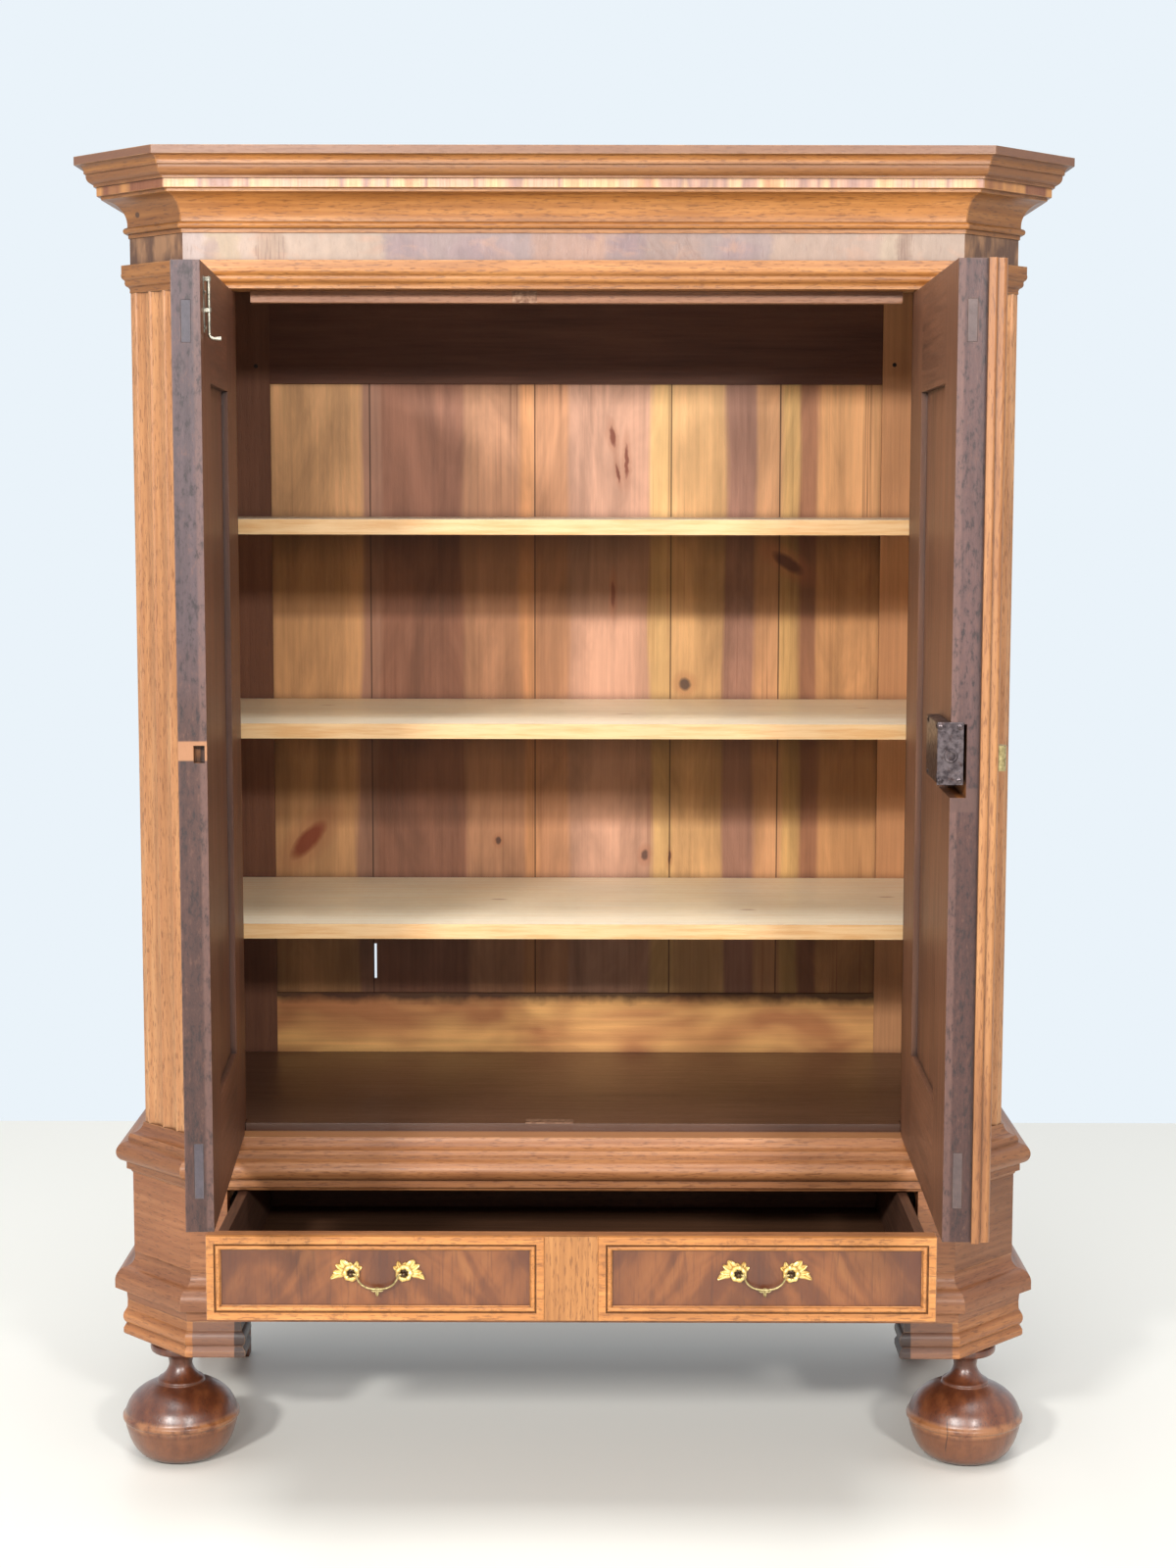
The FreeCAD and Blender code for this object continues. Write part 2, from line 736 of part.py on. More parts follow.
def make_waist_and_base():
    waist = base_ring("waist_moulding", waist_shares, s.waist_reach, s.plinth_top, s.waist_top, ring_wall)
    keep(waist, "waist_moulding")
    base = base_ring("base_moulding", base_shares, s.base_reach, s.bracket_top, s.plinth_low, ring_wall)
    keep(base, "base_moulding")
    # Each plinth board turns from the drawer opening round the corner to the back.
    turn = s.plinth_wall * miter_share
    plan = [
        (s.half_drawer_opening, base_front), (s.half_base_front, base_front), (base_outer, base_corner_back),
        (base_outer, s.body_depth), (base_outer - s.plinth_wall, s.body_depth),
        (base_outer - s.plinth_wall, base_corner_back + turn),
        (s.half_base_front - turn, base_front + s.plinth_wall),
        (s.half_drawer_opening, base_front + s.plinth_wall),
    ]
    right = keep(standing("plinth_right", plan, s.plinth_low, s.plinth_top), "plinth_right")
    keep(mirrored("plinth_left", right), "plinth_left")
    back = block(
        "base_back", (-base_inner, base_inner), (back_front, s.body_depth), (s.bracket_top, s.waist_top))
    keep(back, "base_back")


def make_brackets():
    # The board under the base moulding ends in front with a mitred return.
    path = [
        (-base_outer, s.body_depth), (-base_outer, base_corner_back), (-s.half_base_front, base_front),
        (-bracket_end, base_front), (-bracket_end, base_front + s.bracket_turn),
    ]
    profile = profile_from_shares(
        bracket_shares, base_outer, s.bracket_reach, s.bracket_low, s.bracket_top, s.bracket_wall)
    left = swept("bracket_left", profile, upright, (0, s.body_depth, 0), path, flat, (0, 0, 0))
    keep(left, "bracket_left")
    keep(mirrored("bracket_right", left), "bracket_right")


def make_corner_blocks():
    # Blocks behind the brackets carry the feet.
    turn = s.bracket_wall * miter_share
    inside = base_outer - s.bracket_wall
    front = base_front + s.bracket_turn
    front_plan = [
        (inside - s.block_width, front), (s.half_base_front - turn + s.bracket_turn - s.bracket_wall, front),
        (inside, base_corner_back + turn), (inside, front + s.block_inset),
        (inside - s.block_width, front + s.block_inset),
    ]
    front_block = standing("front_block_right", front_plan, s.bracket_low, s.bracket_top)
    rear_block = block(
        "rear_block_right", (inside - s.block_width, inside), (s.body_depth - s.block_width, s.body_depth),
        (s.bracket_low, s.bracket_top))
    socket = rod(
        "foot_socket", s.stem_radius + s.fit_gap, s.socket_depth + s.fit_gap + s.overrun,
        (foot_across, s.foot_front_inset, s.bracket_low - s.overrun), "Z")
    right_front = cut("corner_block_front_right", front_block, socket)
    left_front = mirrored("corner_block_front_left", right_front)
    left_rear = mirrored("corner_block_rear_left", rear_block)
    keep(group("corner_blocks", right_front, rear_block, left_front, left_rear), "corner_blocks")


def make_feet():
    points = [(0, 0)]
    for across, up, *arc in foot_shares:
        points.append((s.foot_ball_radius * across, s.bracket_low * up, *arc))
    points += [
        (s.stem_radius, s.bracket_low), (s.stem_radius, s.bracket_low + s.socket_depth),
        (0, s.bracket_low + s.socket_depth),
    ]
    pair = [
        put(turned(f"foot_front_{side}", points), foot_across * sign, s.foot_front_inset, 0)
        for side, sign in (("left", -1), ("right", 1))
    ]
    keep(group("front_feet", *pair), "front_feet")
    # The rear feet are plain sawn blocks, a little narrower on the floor.
    half = s.rear_foot_width / 2
    low_half = half - s.rear_foot_taper_width
    rear_plan = [
        (foot_across - low_half, 0), (foot_across + low_half, 0), (foot_across + half, s.bracket_low),
        (foot_across - half, s.bracket_low),
    ]
    along = s.body_depth - s.rear_foot_inset - s.rear_foot_width
    right = put(padded("foot_rear_right", "XZ", rear_plan, s.rear_foot_width), 0, along, 0)
    keep(group("rear_feet", right, mirrored("foot_rear_left", right)), "rear_feet")


def make_sides():
    # A frame of two stiles and three rails with a raised panel in each opening.
    front, back = s.post_back, s.body_depth
    inner_front, inner_back = front + s.side_stile_width, back - s.side_stile_width
    across = (side_inner, outer)
    frame = [
        block("side_front_stile", across, (front, inner_front), (s.waist_top, s.frieze_low)),
        block("side_rear_stile", across, (inner_back, back), (s.waist_top, s.frieze_low)),
    ]
    low_top = s.waist_top + s.side_bottom_rail_height
    middle_top = s.side_middle_level + s.side_middle_rail_height
    high_low = s.frieze_low - s.side_top_rail_height
    for name, low, high in (
            ("bottom", s.waist_top, low_top), ("middle", s.side_middle_level, middle_top),
            ("top", high_low, s.frieze_low)):
        frame.append(block(f"side_{name}_rail", across, (inner_front, inner_back), (low, high)))
    frame += [mirrored(f"{piece.Name}_left", piece) for piece in frame]
    keep(group("side_frames", *frame), "side_frames")
    panels = []
    face = outer - s.side_panel_depth
    for name, low, high in (("lower", low_top, s.side_middle_level), ("upper", middle_top, high_low)):
        edge = block(
            f"side_{name}_panel_edge",
            (side_inner + s.side_panel_depth, side_inner + s.side_panel_depth + s.side_panel_wall),
            (inner_front, inner_back), (low, high))
        field = frustum(
            f"side_{name}_panel_field", "X", side_inner + s.side_panel_depth + s.side_panel_wall, face,
            (inner_front, inner_back), (low, high), s.side_panel_bevel_width)
        panels.append(fuse(f"side_{name}_panel", edge, field))
    panels += [mirrored(f"{panel.Name}_left", panel) for panel in panels]
    keep(group("side_panels", *panels), "side_panels")


def frustum(name, axis, base, top, wide, tall, bevel):
    # The raised field of a panel with sloping edges, along +X or towards -Y.
    wedge = doc.addObject("Part::Wedge", name)
    if axis == "X":
        # The wedge's own Y axis points along X after a quarter turn.
        wedge.Placement = Placement(Vector(), Rotation(Vector(0, 0, 1), -90))
        values = {
            "Ymin": base, "Ymax": top, "Xmin": -wide[1], "Xmax": -wide[0], "Zmin": tall[0], "Zmax": tall[1],
            "X2min": -wide[1] + bevel, "X2max": -wide[0] - bevel, "Z2min": tall[0] + bevel,
            "Z2max": tall[1] - bevel,
        }
    else:
        values = {
            "Ymin": top, "Ymax": base, "Xmin": wide[0] + bevel, "Xmax": wide[1] - bevel,
            "Zmin": tall[0] + bevel, "Zmax": tall[1] - bevel, "X2min": wide[0], "X2max": wide[1],
            "Z2min": tall[0], "Z2max": tall[1],
        }
    for prop in ("Xmax", "Ymax", "Zmax", "X2max", "Z2max", "Xmin", "Ymin", "Zmin", "X2min", "Z2min"):
        setattr(wedge, prop, number(values[prop]))
    for prop, size in values.items():
        bind(wedge, prop, size)
    return wedge


def make_back():
    along = (back_front, s.body_depth)
    right = block(
        "rear_post_right", (back_opening_half, side_inner), along, (s.waist_top, s.frieze_low))
    keep(group("rear_posts", right, mirrored("rear_post_left", right)), "rear_posts")
    between = (-back_opening_half, back_opening_half)
    top_rail = block("back_top_rail", between, along, (s.back_rail_top, s.frieze_low))
    bottom_rail = block("back_bottom_rail", between, along, (s.waist_top, s.back_rail_low))
    keep(group("back_rails", top_rail, bottom_rail), "back_rails")
    joints = [back_opening_half * share for share in back_joint_shares]
    edges = [-back_opening_half, *joints, back_opening_half]
    face = back_front + s.back_board_setback
    boards = []
    for index, (start, end) in enumerate(zip(edges, edges[1:]), start=1):
        boards.append(block(
            f"back_board_{index}", (start, end), (face, face + s.back_board_wall),
            (s.back_rail_low, s.back_rail_top)))
    # One board has a short open split at its edge, as old boards have.
    slit_low = s.back_rail_low + s.slit_rise_height
    slit = block(
        "back_slit", (edges[1], edges[1] + s.slit_width * 2),
        (face - s.overrun, face + s.back_board_wall + s.overrun), (slit_low, slit_low + s.slit_height))
    boards[1] = cut("back_board_split", boards[1], slit)
    keep(group("back_boards", *boards), "back_boards")


def make_floor():
    low = s.floor_top - s.floor_wall
    gap = s.shelf_gap
    limit = base_inner - s.fit_gap
    leg = outer - s.post_wall - gap
    slope = post_diagonal - gap
    # The front board is fitted round the two posts.
    front_plan = both_sides([
        (s.half_lip - gap, s.sill_depth), (s.half_lip - gap, s.lip_depth + gap),
        (slope + s.lip_depth + gap, s.lip_depth + gap), (leg, leg - slope), (leg, s.post_back + gap),
        (limit, s.post_back + gap), (limit, s.floor_joint_depth - s.board_gap / 2),
    ])
    front = standing("floor_front_board", front_plan, low, s.floor_top)
    rear = block(
        "floor_rear_board", (-limit, limit), (s.floor_joint_depth + s.board_gap / 2, back_front - s.fit_gap),
        (low, s.floor_top))
    keep(group("floor_boards", front, rear), "floor_boards")
    bearer_low = low - s.bearer_height
    side = block(
        "floor_bearer_right", (base_inner - s.bearer_width, base_inner),
        (base_corner_back + ring_turn, back_front), (bearer_low, low))
    front_bearer = block(
        "floor_bearer_front", (-ring_front_half, ring_front_half),
        (s.sill_depth, s.sill_depth + s.bearer_width), (bearer_low, low))
    keep(group("floor_bearers", side, mirrored("floor_bearer_left", side), front_bearer), "floor_bearers")


def make_shelves():
    gap = s.shelf_gap
    leg = outer - s.post_wall - gap
    slope = post_diagonal - gap
    plan = both_sides([
        (slope + s.shelf_front_depth, s.shelf_front_depth), (leg, leg - slope), (leg, s.post_back + gap),
        (side_inner - gap, s.post_back + gap), (side_inner - gap, back_front - gap),
    ])
    cleats = []
    for name, share in shelf_shares:
        top = s.floor_top + (s.door_head - s.floor_top) * share
        low = top - s.shelf_wall
        keep(standing(f"shelf_{name}", plan, low, top), f"shelf_{name}")
        cleat = block(
            f"cleat_{name}", (side_inner - s.cleat_width, side_inner), (s.post_back, back_front),
            (low - s.cleat_height, low))
        cleats += [cleat, mirrored(f"cleat_{name}_left", cleat)]
    keep(group("shelf_cleats", *cleats), "shelf_cleats")


def make_top():
    # Three loose boards lie on the frame inside the frieze.
    inside = outer - s.frieze_wall
    turn = s.frieze_wall * miter_share
    depth = s.body_depth - s.frieze_wall
    joint_one = s.frieze_wall + depth / 3
    joint_two = s.frieze_wall + depth * 2 / 3
    front_plan = both_sides([
        (s.half_front - turn, s.frieze_wall), (inside, s.corner_cut + turn),
        (inside, joint_one - s.board_gap),
    ])
    high = s.frieze_low + s.top_wall
    boards = [
        standing("top_board_front", front_plan, s.frieze_low, high),
        block(
            "top_board_middle", (-inside, inside), (joint_one, joint_two - s.board_gap),
            (s.frieze_low, high)),
        block("top_board_rear", (-inside, inside), (joint_two, s.body_depth), (s.frieze_low, high)),
    ]
    keep(group("top_boards", *boards), "top_boards")


def swing(obj, sign, angle):
    # Turns a door piece from its closed place about its hinge pin.
    pin_x = s.pin_across * sign
    pin_y = -s.pin_forward_depth
    obj.Placement = Placement(Vector(), Rotation(Vector(0, 0, 1), number(angle) * sign))
    turn = angle * sign
    x = pin_x - pin_x * cosine(turn) + pin_y * sine(turn)
    y = pin_y - pin_x * sine(turn) - pin_y * cosine(turn)
    put(obj, x, y, 0)
    obj.setExpression("Placement.Rotation.Angle", turn.text)
    return obj


def span(sign, near, far):
    # Limits in X of a piece between two distances from a door's hinge edge.
    if sign < 0:
        return (near - s.pin_across, far - s.pin_across)
    return (s.pin_across - far, s.pin_across - near)


def tenon_rows():
    return (
        ("upper", s.upper_tenon_low, s.upper_tenon_height),
        ("lower", s.lower_tenon_low, s.lower_tenon_height),
    )


def make_door_frame(side, sign, width, stile, angle, free_cuts):
    # Two stiles, two rails with through tenons, and a panel held in a groove.
    tall = (s.leaf_low, s.leaf_top)
    through = (0, s.leaf_wall)
    inner_low = s.leaf_low + s.leaf_bottom_rail_height
    inner_high = s.leaf_top - s.leaf_top_rail_height
    tenon_front = (s.leaf_wall - s.tenon_wall) / 2
    tongue_front = (s.leaf_wall - s.panel_tongue_wall) / 2
    groove_reach = s.panel_groove_depth + s.fit_gap
    groove = block(
        f"{side}_groove", span(sign, stile - groove_reach, width - stile + groove_reach),
        (tongue_front - s.fit_gap, tongue_front + s.panel_tongue_wall + s.fit_gap),
        (inner_low - groove_reach, inner_high + groove_reach))
    mortises = []
    for name, low, height in tenon_rows():
        for end, near, far in (
                ("hinge", stile - s.stub_tenon_length - s.fit_gap, stile + s.overrun),
                ("free", width - stile - s.overrun, width + s.overrun)):
            mortises.append(block(
                f"{side}_{name}_{end}_mortise", span(sign, near, far),
                (tenon_front - s.fit_gap, tenon_front + s.tenon_wall + s.fit_gap),
                (low - s.fit_gap, low + height + s.fit_gap)))
    beds = []
    for name, level in hinge_levels():
        half = s.hinge_height / 2 + s.fit_gap
        beds.append(block(
            f"{side}_hinge_bed_{name}", span(sign, -s.overrun, s.hinge_plate_wall),
            (-s.overrun, s.hinge_width - s.pin_forward_depth + s.fit_gap), (level - half, level + half)))
    hinge_blank = block(f"{side}_hinge_stile_blank", span(sign, 0, stile), through, tall)
    free_blank = block(f"{side}_free_stile_blank", span(sign, width - stile, width), through, tall)
    hinge_stile = cut(f"{side}_hinge_stile", hinge_blank, groove, *mortises, *beds)
    free_stile = cut(f"{side}_free_stile", free_blank, groove, *mortises, *free_cuts)
    stiles = keep(group(f"{side}_door_stiles", hinge_stile, free_stile), f"{side}_door_stiles")
    rails = []
    for (name, low, height), (rail_low, rail_high) in zip(
            tenon_rows(), ((inner_high, s.leaf_top), (s.leaf_low, inner_low))):
        bar = block(
            f"{side}_{name}_rail_bar", span(sign, stile, width - stile), through, (rail_low, rail_high))
        tenon = block(
            f"{side}_{name}_tenon", span(sign, stile - s.stub_tenon_length, width),
            (tenon_front, tenon_front + s.tenon_wall), (low, low + height))
        grooved = cut(f"{side}_{name}_rail_grooved", bar, groove)
        rails.append(fuse(f"{side}_{name}_rail", grooved, tenon))
    rails = keep(group(f"{side}_door_rails", *rails), f"{side}_door_rails")
    tongue = block(
        f"{side}_panel_tongue",
        span(sign, stile - s.panel_groove_depth, width - stile + s.panel_groove_depth),
        (tongue_front, tongue_front + s.panel_tongue_wall),
        (inner_low - s.panel_groove_depth, inner_high + s.panel_groove_depth))
    opening = span(sign, stile + s.fit_gap, width - stile - s.fit_gap)
    height = (inner_low + s.fit_gap, inner_high - s.fit_gap)
    thick = block(
        f"{side}_panel_back", opening, (tongue_front, s.leaf_wall - s.panel_back_depth), height)
    field = frustum(
        f"{side}_panel_field", "Y", tongue_front, s.panel_front_depth, opening, height,
        s.panel_bevel_width)
    panel = keep(fuse(f"{side}_door_panel", tongue, thick, field), f"{side}_door_panel")
    for piece in (stiles, rails, panel):
        swing(piece, sign, angle)


def hinge_halves(level):
    # The jamb's knuckle below and the door's above it, so that the door lifts off.
    half = s.hinge_height / 2
    gap = s.knuckle_gap / 2
    return (level - half, level - gap), (level + gap, level + half)


def knuckle(name, sign, low, high):
    # An eight-sided hinge knuckle round the pin.
    points = [
        (s.pin_across * sign + s.knuckle_radius * across, s.knuckle_radius * along - s.pin_forward_depth)
        for across, along in round_shares
    ]
    return standing(name, points, low, high)


def make_jamb_hinges():
    # Plate, lower knuckle and pin on each post.
    hinges = []
    pin_y = -s.pin_forward_depth
    clear = pin_y + s.knuckle_radius + s.knuckle_gap
    for name, level in hinge_levels():
        (low, low_end), (high_start, high) = hinge_halves(level)
        plate = block(
            f"jamb_{name}_plate", (s.half_opening, s.half_opening + s.hinge_plate_wall),
            (pin_y, s.hinge_width - s.pin_forward_depth), (low, high))
        # Above its knuckle the plate stays clear of the door's knuckle.
        relief = block(
            f"jamb_{name}_relief",
            (s.half_opening - s.overrun, s.half_opening + s.hinge_plate_wall + s.overrun),
            (pin_y - s.overrun, clear), (low_end, high + s.overrun))
        barrel = knuckle(f"jamb_{name}_knuckle", 1, low, low_end)
        pin = rod(f"jamb_{name}_pin", s.pin_radius, high - low, (s.pin_across, pin_y, low), "Z")
        hinges.append(fuse(f"jamb_hinge_{name}", cut(f"jamb_{name}_cut", plate, relief), barrel, pin))
    hinges += [mirrored(f"{hinge.Name}_left", hinge) for hinge in hinges]
    keep(group("jamb_hinges", *hinges), "jamb_hinges")


def make_door_hinges(side, sign, angle):
    # Plate and upper knuckle on each door stile, bored for the pin.
    hinges = []
    pin_y = -s.pin_forward_depth
    clear = pin_y + s.knuckle_radius + s.knuckle_gap
    for name, level in hinge_levels():
        (low, low_end), (high_start, high) = hinge_halves(level)
        plate = block(
            f"{side}_{name}_plate", span(sign, 0, s.hinge_plate_wall),
            (pin_y, s.hinge_width - s.pin_forward_depth), (low, high))
        relief = block(
            f"{side}_{name}_relief", span(sign, -s.overrun, s.hinge_plate_wall + s.overrun),
            (pin_y - s.overrun, clear), (low - s.overrun, high_start))
        barrel = knuckle(f"{side}_{name}_knuckle", sign, high_start, high)
        bore = rod(
            f"{side}_{name}_bore", s.pin_radius + s.pin_clearance, s.hinge_height + s.overrun * 2,
            (s.pin_across * sign, pin_y, low - s.overrun), "Z")
        leaf = fuse(f"{side}_{name}_hinge_blank", plate, barrel)
        hinges.append(cut(f"{side}_{name}_hinge", leaf, relief, bore))
    swing(keep(group(f"{side}_door_hinges", *hinges), f"{side}_door_hinges"), sign, angle)


def make_left_door():
    edge = s.left_leaf
    half = s.lock_bolt_height / 2 + s.fit_gap * 5
    keep_hole = block(
        "left_lock_mortise", span(-1, edge - s.lock_travel_length - s.overrun, edge + s.overrun),
        (lock_bolt_front() - s.fit_gap * 5, lock_bolt_front() + s.lock_bolt_wall + s.fit_gap * 5),
        (s.lock_bolt_level - half, s.lock_bolt_level + half))
    make_door_frame("left", -1, edge, s.left_stile_width, s.left_open_angle, [keep_hole])
    make_door_hinges("left", -1, s.left_open_angle)
    make_barrel_bolt()


def lock_bolt_front():
    # The lock's bolt runs inside the thickness of the leaf.
    return s.leaf_wall - s.lock_sunk_depth + (s.lock_sunk_depth - s.lock_bolt_wall) / 2


def make_barrel_bolt():
    # A plate with two guides, and a round bolt with a foot that slides up into the batten.
    face = s.leaf_wall
    line = face + s.bolt_offset
    x = bolt_across()
    low, high = s.bolt_plate_low, s.bolt_plate_low + s.bolt_plate_height
    plate = block(
        "bolt_base", (x - s.bolt_plate_width / 2, x + s.bolt_plate_width / 2),
        (face, face + s.bolt_plate_wall), (low, high))
    guides = []
    for name, level in (("low", low), ("high", high - s.bolt_guide_height)):
        across = s.bolt_radius + s.fit_gap + s.bolt_guide_wall
        guide = block(
            f"bolt_guide_block_{name}", (x - across, x + across), (face, line + across),
            (level, level + s.bolt_guide_height))
        bore = rod(
            f"bolt_bore_{name}", s.bolt_radius + s.fit_gap, s.bolt_guide_height + s.overrun * 2,
            (x, line, level - s.overrun), "Z")
        guides.append(cut(f"bolt_guide_{name}", guide, bore))
    swing(keep(fuse("bolt_plate", plate, *guides), "bolt_plate"), -1, s.left_open_angle)
    shaft = rod("bolt_shaft", s.bolt_radius, s.bolt_plate_height, (x, line, low), "Z")
    neck_level = low + s.bolt_plate_height * bolt_neck_share
    neck = rod(
        "bolt_neck", s.bolt_neck_radius, s.bolt_radius + s.bolt_neck_length, (x, line, neck_level), "Y")
    swing(keep(fuse("bolt_rod", shaft, neck), "bolt_rod"), -1, s.left_open_angle)


def make_right_door():
    edge = s.right_leaf
    lock_front = s.leaf_wall - s.lock_sunk_depth
    pocket = block(
        "right_lock_pocket", span(1, edge - s.lock_width - s.fit_gap, edge + s.overrun),
        (lock_front - s.fit_gap, s.leaf_wall + s.overrun),
        (s.lock_low - s.fit_gap, s.lock_low + s.lock_height + s.fit_gap))
    strip_middle = edge + s.strip_overlap - s.strip_width / 2
    key_way = block(
        "right_key_way", span(1, strip_middle - s.key_width / 2, strip_middle + s.key_width / 2),
        (-s.overrun, s.leaf_wall),
        (s.lock_bolt_level - s.key_height / 2, s.lock_bolt_level + s.key_height / 2))
    make_door_frame("right", 1, edge, s.right_stile_width, s.right_open_angle, [pocket, key_way])
    make_door_hinges("right", 1, s.right_open_angle)
    make_closing_strip(edge, strip_middle)
    make_lock(edge, lock_front)
    make_escutcheon(strip_middle)


def make_closing_strip(edge, middle):
    # A stepped and rounded strip over the meeting edges.
    near = s.pin_across - (edge + s.strip_overlap)
    far = near + s.strip_width
    step = s.strip_step_width
    round_height = s.strip_base_height * strip_round_share
    shoulder = s.strip_height * strip_shoulder_share
    plan = [
        (near, 0), (near, -round_height, strip_arc_share, 1),
        (near + step * strip_round_share, -s.strip_base_height), (near + step, -s.strip_base_height),
        (near + step, -shoulder, strip_arc_share, 1), (near + step * 2, -s.strip_height),
        (far - step * 2, -s.strip_height, strip_arc_share, 1), (far - step, -shoulder),
        (far - step, -s.strip_base_height),
        (far - step * strip_round_share, -s.strip_base_height, strip_arc_share, 1), (far, -round_height),
        (far, 0),
    ]
    blank = standing("closing_strip_blank", plan, s.leaf_low, s.leaf_top)
    key_way = block(
        "strip_key_way", span(1, middle - s.key_width / 2, middle + s.key_width / 2),
        (-s.strip_height - s.overrun, s.overrun),
        (s.lock_bolt_level - s.key_height / 2, s.lock_bolt_level + s.key_height / 2))
    swing(keep(cut("closing_strip", blank, key_way), "closing_strip"), 1, s.right_open_angle)


def make_lock(edge, front):
    # A half-sunk rim lock with its edge plate; the bolt slides inside the case.
    back = s.leaf_wall + s.lock_stand_out
    case = block(
        "lock_box", span(1, edge - s.lock_width, edge), (front, back),
        (s.lock_low, s.lock_low + s.lock_height))
    plate = block(
        "lock_edge_plate", span(1, edge, edge + s.lock_plate_wall), (front, back),
        (s.lock_low, s.lock_low + s.lock_height))
    half = s.lock_bolt_height / 2
    gap = s.fit_gap
    way = block(
        "lock_bolt_way", span(1, edge - s.lock_bolt_length - gap, edge + s.lock_plate_wall + s.overrun),
        (lock_bolt_front() - gap, lock_bolt_front() + s.lock_bolt_wall + gap),
        (s.lock_bolt_level - half - gap, s.lock_bolt_level + half + gap))
    swing(keep(cut("lock_case", fuse("lock_shell", case, plate), way), "lock_case"), 1, s.right_open_angle)
    bolt = block(
        "lock_tongue", span(1, edge - s.lock_bolt_length, edge + s.lock_plate_wall),
        (lock_bolt_front(), lock_bolt_front() + s.lock_bolt_wall),
        (s.lock_bolt_level - half, s.lock_bolt_level + half))
    swing(keep(group("lock_bolt", bolt), "lock_bolt"), 1, s.right_open_angle)


def make_escutcheon(middle):
    # A domed brass key plate on the closing strip.
    x = s.pin_across - middle
    half = s.escutcheon_half_width
    rise = s.escutcheon_depth
    section = [
        (x - half, -s.strip_height, dome_arc_share, 1), (x, -s.strip_height - rise, dome_arc_share, 1),
        (x + half, -s.strip_height),
    ]
    dome = standing(
        "escutcheon_dome", section, s.lock_bolt_level - s.escutcheon_height / 2,
        s.lock_bolt_level + s.escutcheon_height / 2)
    key_hole = block(
        "escutcheon_hole", span(1, middle - s.key_width / 2, middle + s.key_width / 2),
        (-s.strip_height - rise - s.overrun, -s.strip_height + s.overrun),
        (s.lock_bolt_level - s.key_height / 2, s.lock_bolt_level + s.key_height / 2))
    swing(keep(cut("escutcheon", dome, key_hole), "escutcheon"), 1, s.right_open_angle)


def slide(obj):
    # The drawer stands pulled out by this much.
    return put(obj, 0, -s.drawer_out_length, 0)


def make_drawer():
    low = s.plinth_low + s.drawer_gap
    high = s.plinth_top - s.drawer_gap
    half = front_half
    board_front = base_front + s.frame_height
    board_back = board_front + s.drawer_front_wall
    side_high = high - s.drawer_gap
    bottom_low = low + s.drawer_bottom_height
    bottom_high = bottom_low + s.drawer_bottom_wall
    side_inside = s.drawer_side_outer - s.drawer_side_wall
    back_end = board_back + s.drawer_length
    groove_half = side_inside + s.drawer_groove_depth + s.fit_gap
    groove = block(
        "drawer_groove_tool", (-groove_half, groove_half),
        (board_back - s.drawer_groove_depth - s.fit_gap, back_end + s.overrun),
        (bottom_low - s.fit_gap, bottom_high + s.fit_gap))
    board = block("drawer_board", (-half, half), (board_front, board_back), (low, high))
    slide(keep(cut("drawer_front", board, groove), "drawer_front"))
    side_blank = block(
        "drawer_side_blank", (side_inside, s.drawer_side_outer), (board_back, back_end), (low, side_high))
    side = cut("drawer_side_right", side_blank, groove)
    slide(keep(group("drawer_sides", side, mirrored("drawer_side_left", side)), "drawer_sides"))
    back = block(
        "drawer_back_board", (-side_inside, side_inside), (back_end - s.drawer_back_wall, back_end),
        (bottom_high + s.fit_gap, side_high - s.drawer_back_drop))
    slide(keep(group("drawer_back", back), "drawer_back"))
    bottom = block(
        "drawer_bottom_board", (-side_inside - s.drawer_groove_depth, side_inside + s.drawer_groove_depth),
        (board_back - s.drawer_groove_depth, back_end), (bottom_low, bottom_high))
    slide(keep(group("drawer_bottom", bottom), "drawer_bottom"))
    frames, fields = [], []
    for name, left, right in (("left", -half, -s.centre_half_width), ("right", s.centre_half_width, half)):
        frames.append(panel_frame(f"drawer_frame_{name}", left, right, low, high, board_front))
        inner = s.frame_width
        fields.append(block(
            f"drawer_field_{name}", (left + inner, right - inner), (board_front - s.field_wall, board_front),
            (low + inner, high - inner)))
    slide(keep(group("drawer_frames", *frames), "drawer_frames"))
    slide(keep(group("drawer_fields", *fields), "drawer_fields"))
    centre = block(
        "drawer_centre_block", (-s.centre_half_width, s.centre_half_width),
        (board_front - s.centre_height, board_front), (low, high))
    slide(keep(group("drawer_centre", centre), "drawer_centre"))


def panel_frame(name, left, right, low, high, face):
    # A mitred frame round a drawer panel: up the left side, over, down and back.
    path = [(left, low), (left, high), (right, high), (right, low)]
    profile = [(0, 0)]
    for across, rise, *arc in frame_shares:
        profile.append((s.frame_width * across, -s.frame_height * rise, *arc))
    return swept(name, profile, flat, (left, face, low), path, upright, (0, face, 0), closed=True)


def make_runners():
    # Each runner carries a side of the drawer and guides it from outside.
    top = s.plinth_low + s.drawer_gap
    reach = ring_front_half - s.runner_width
    guide = s.drawer_side_outer + s.guide_gap
    plan = [
        (reach, top - s.runner_wall), (ring_front_half, top - s.runner_wall),
        (ring_front_half, top + s.guide_height),
        (guide, top + s.guide_height), (guide, top), (reach, top),
    ]
    right = put(padded("drawer_runner_right", "XZ", plan, back_front - s.sill_depth), 0, s.sill_depth, 0)
    keep(group("drawer_runners", right, mirrored("drawer_runner_left", right)), "drawer_runners")


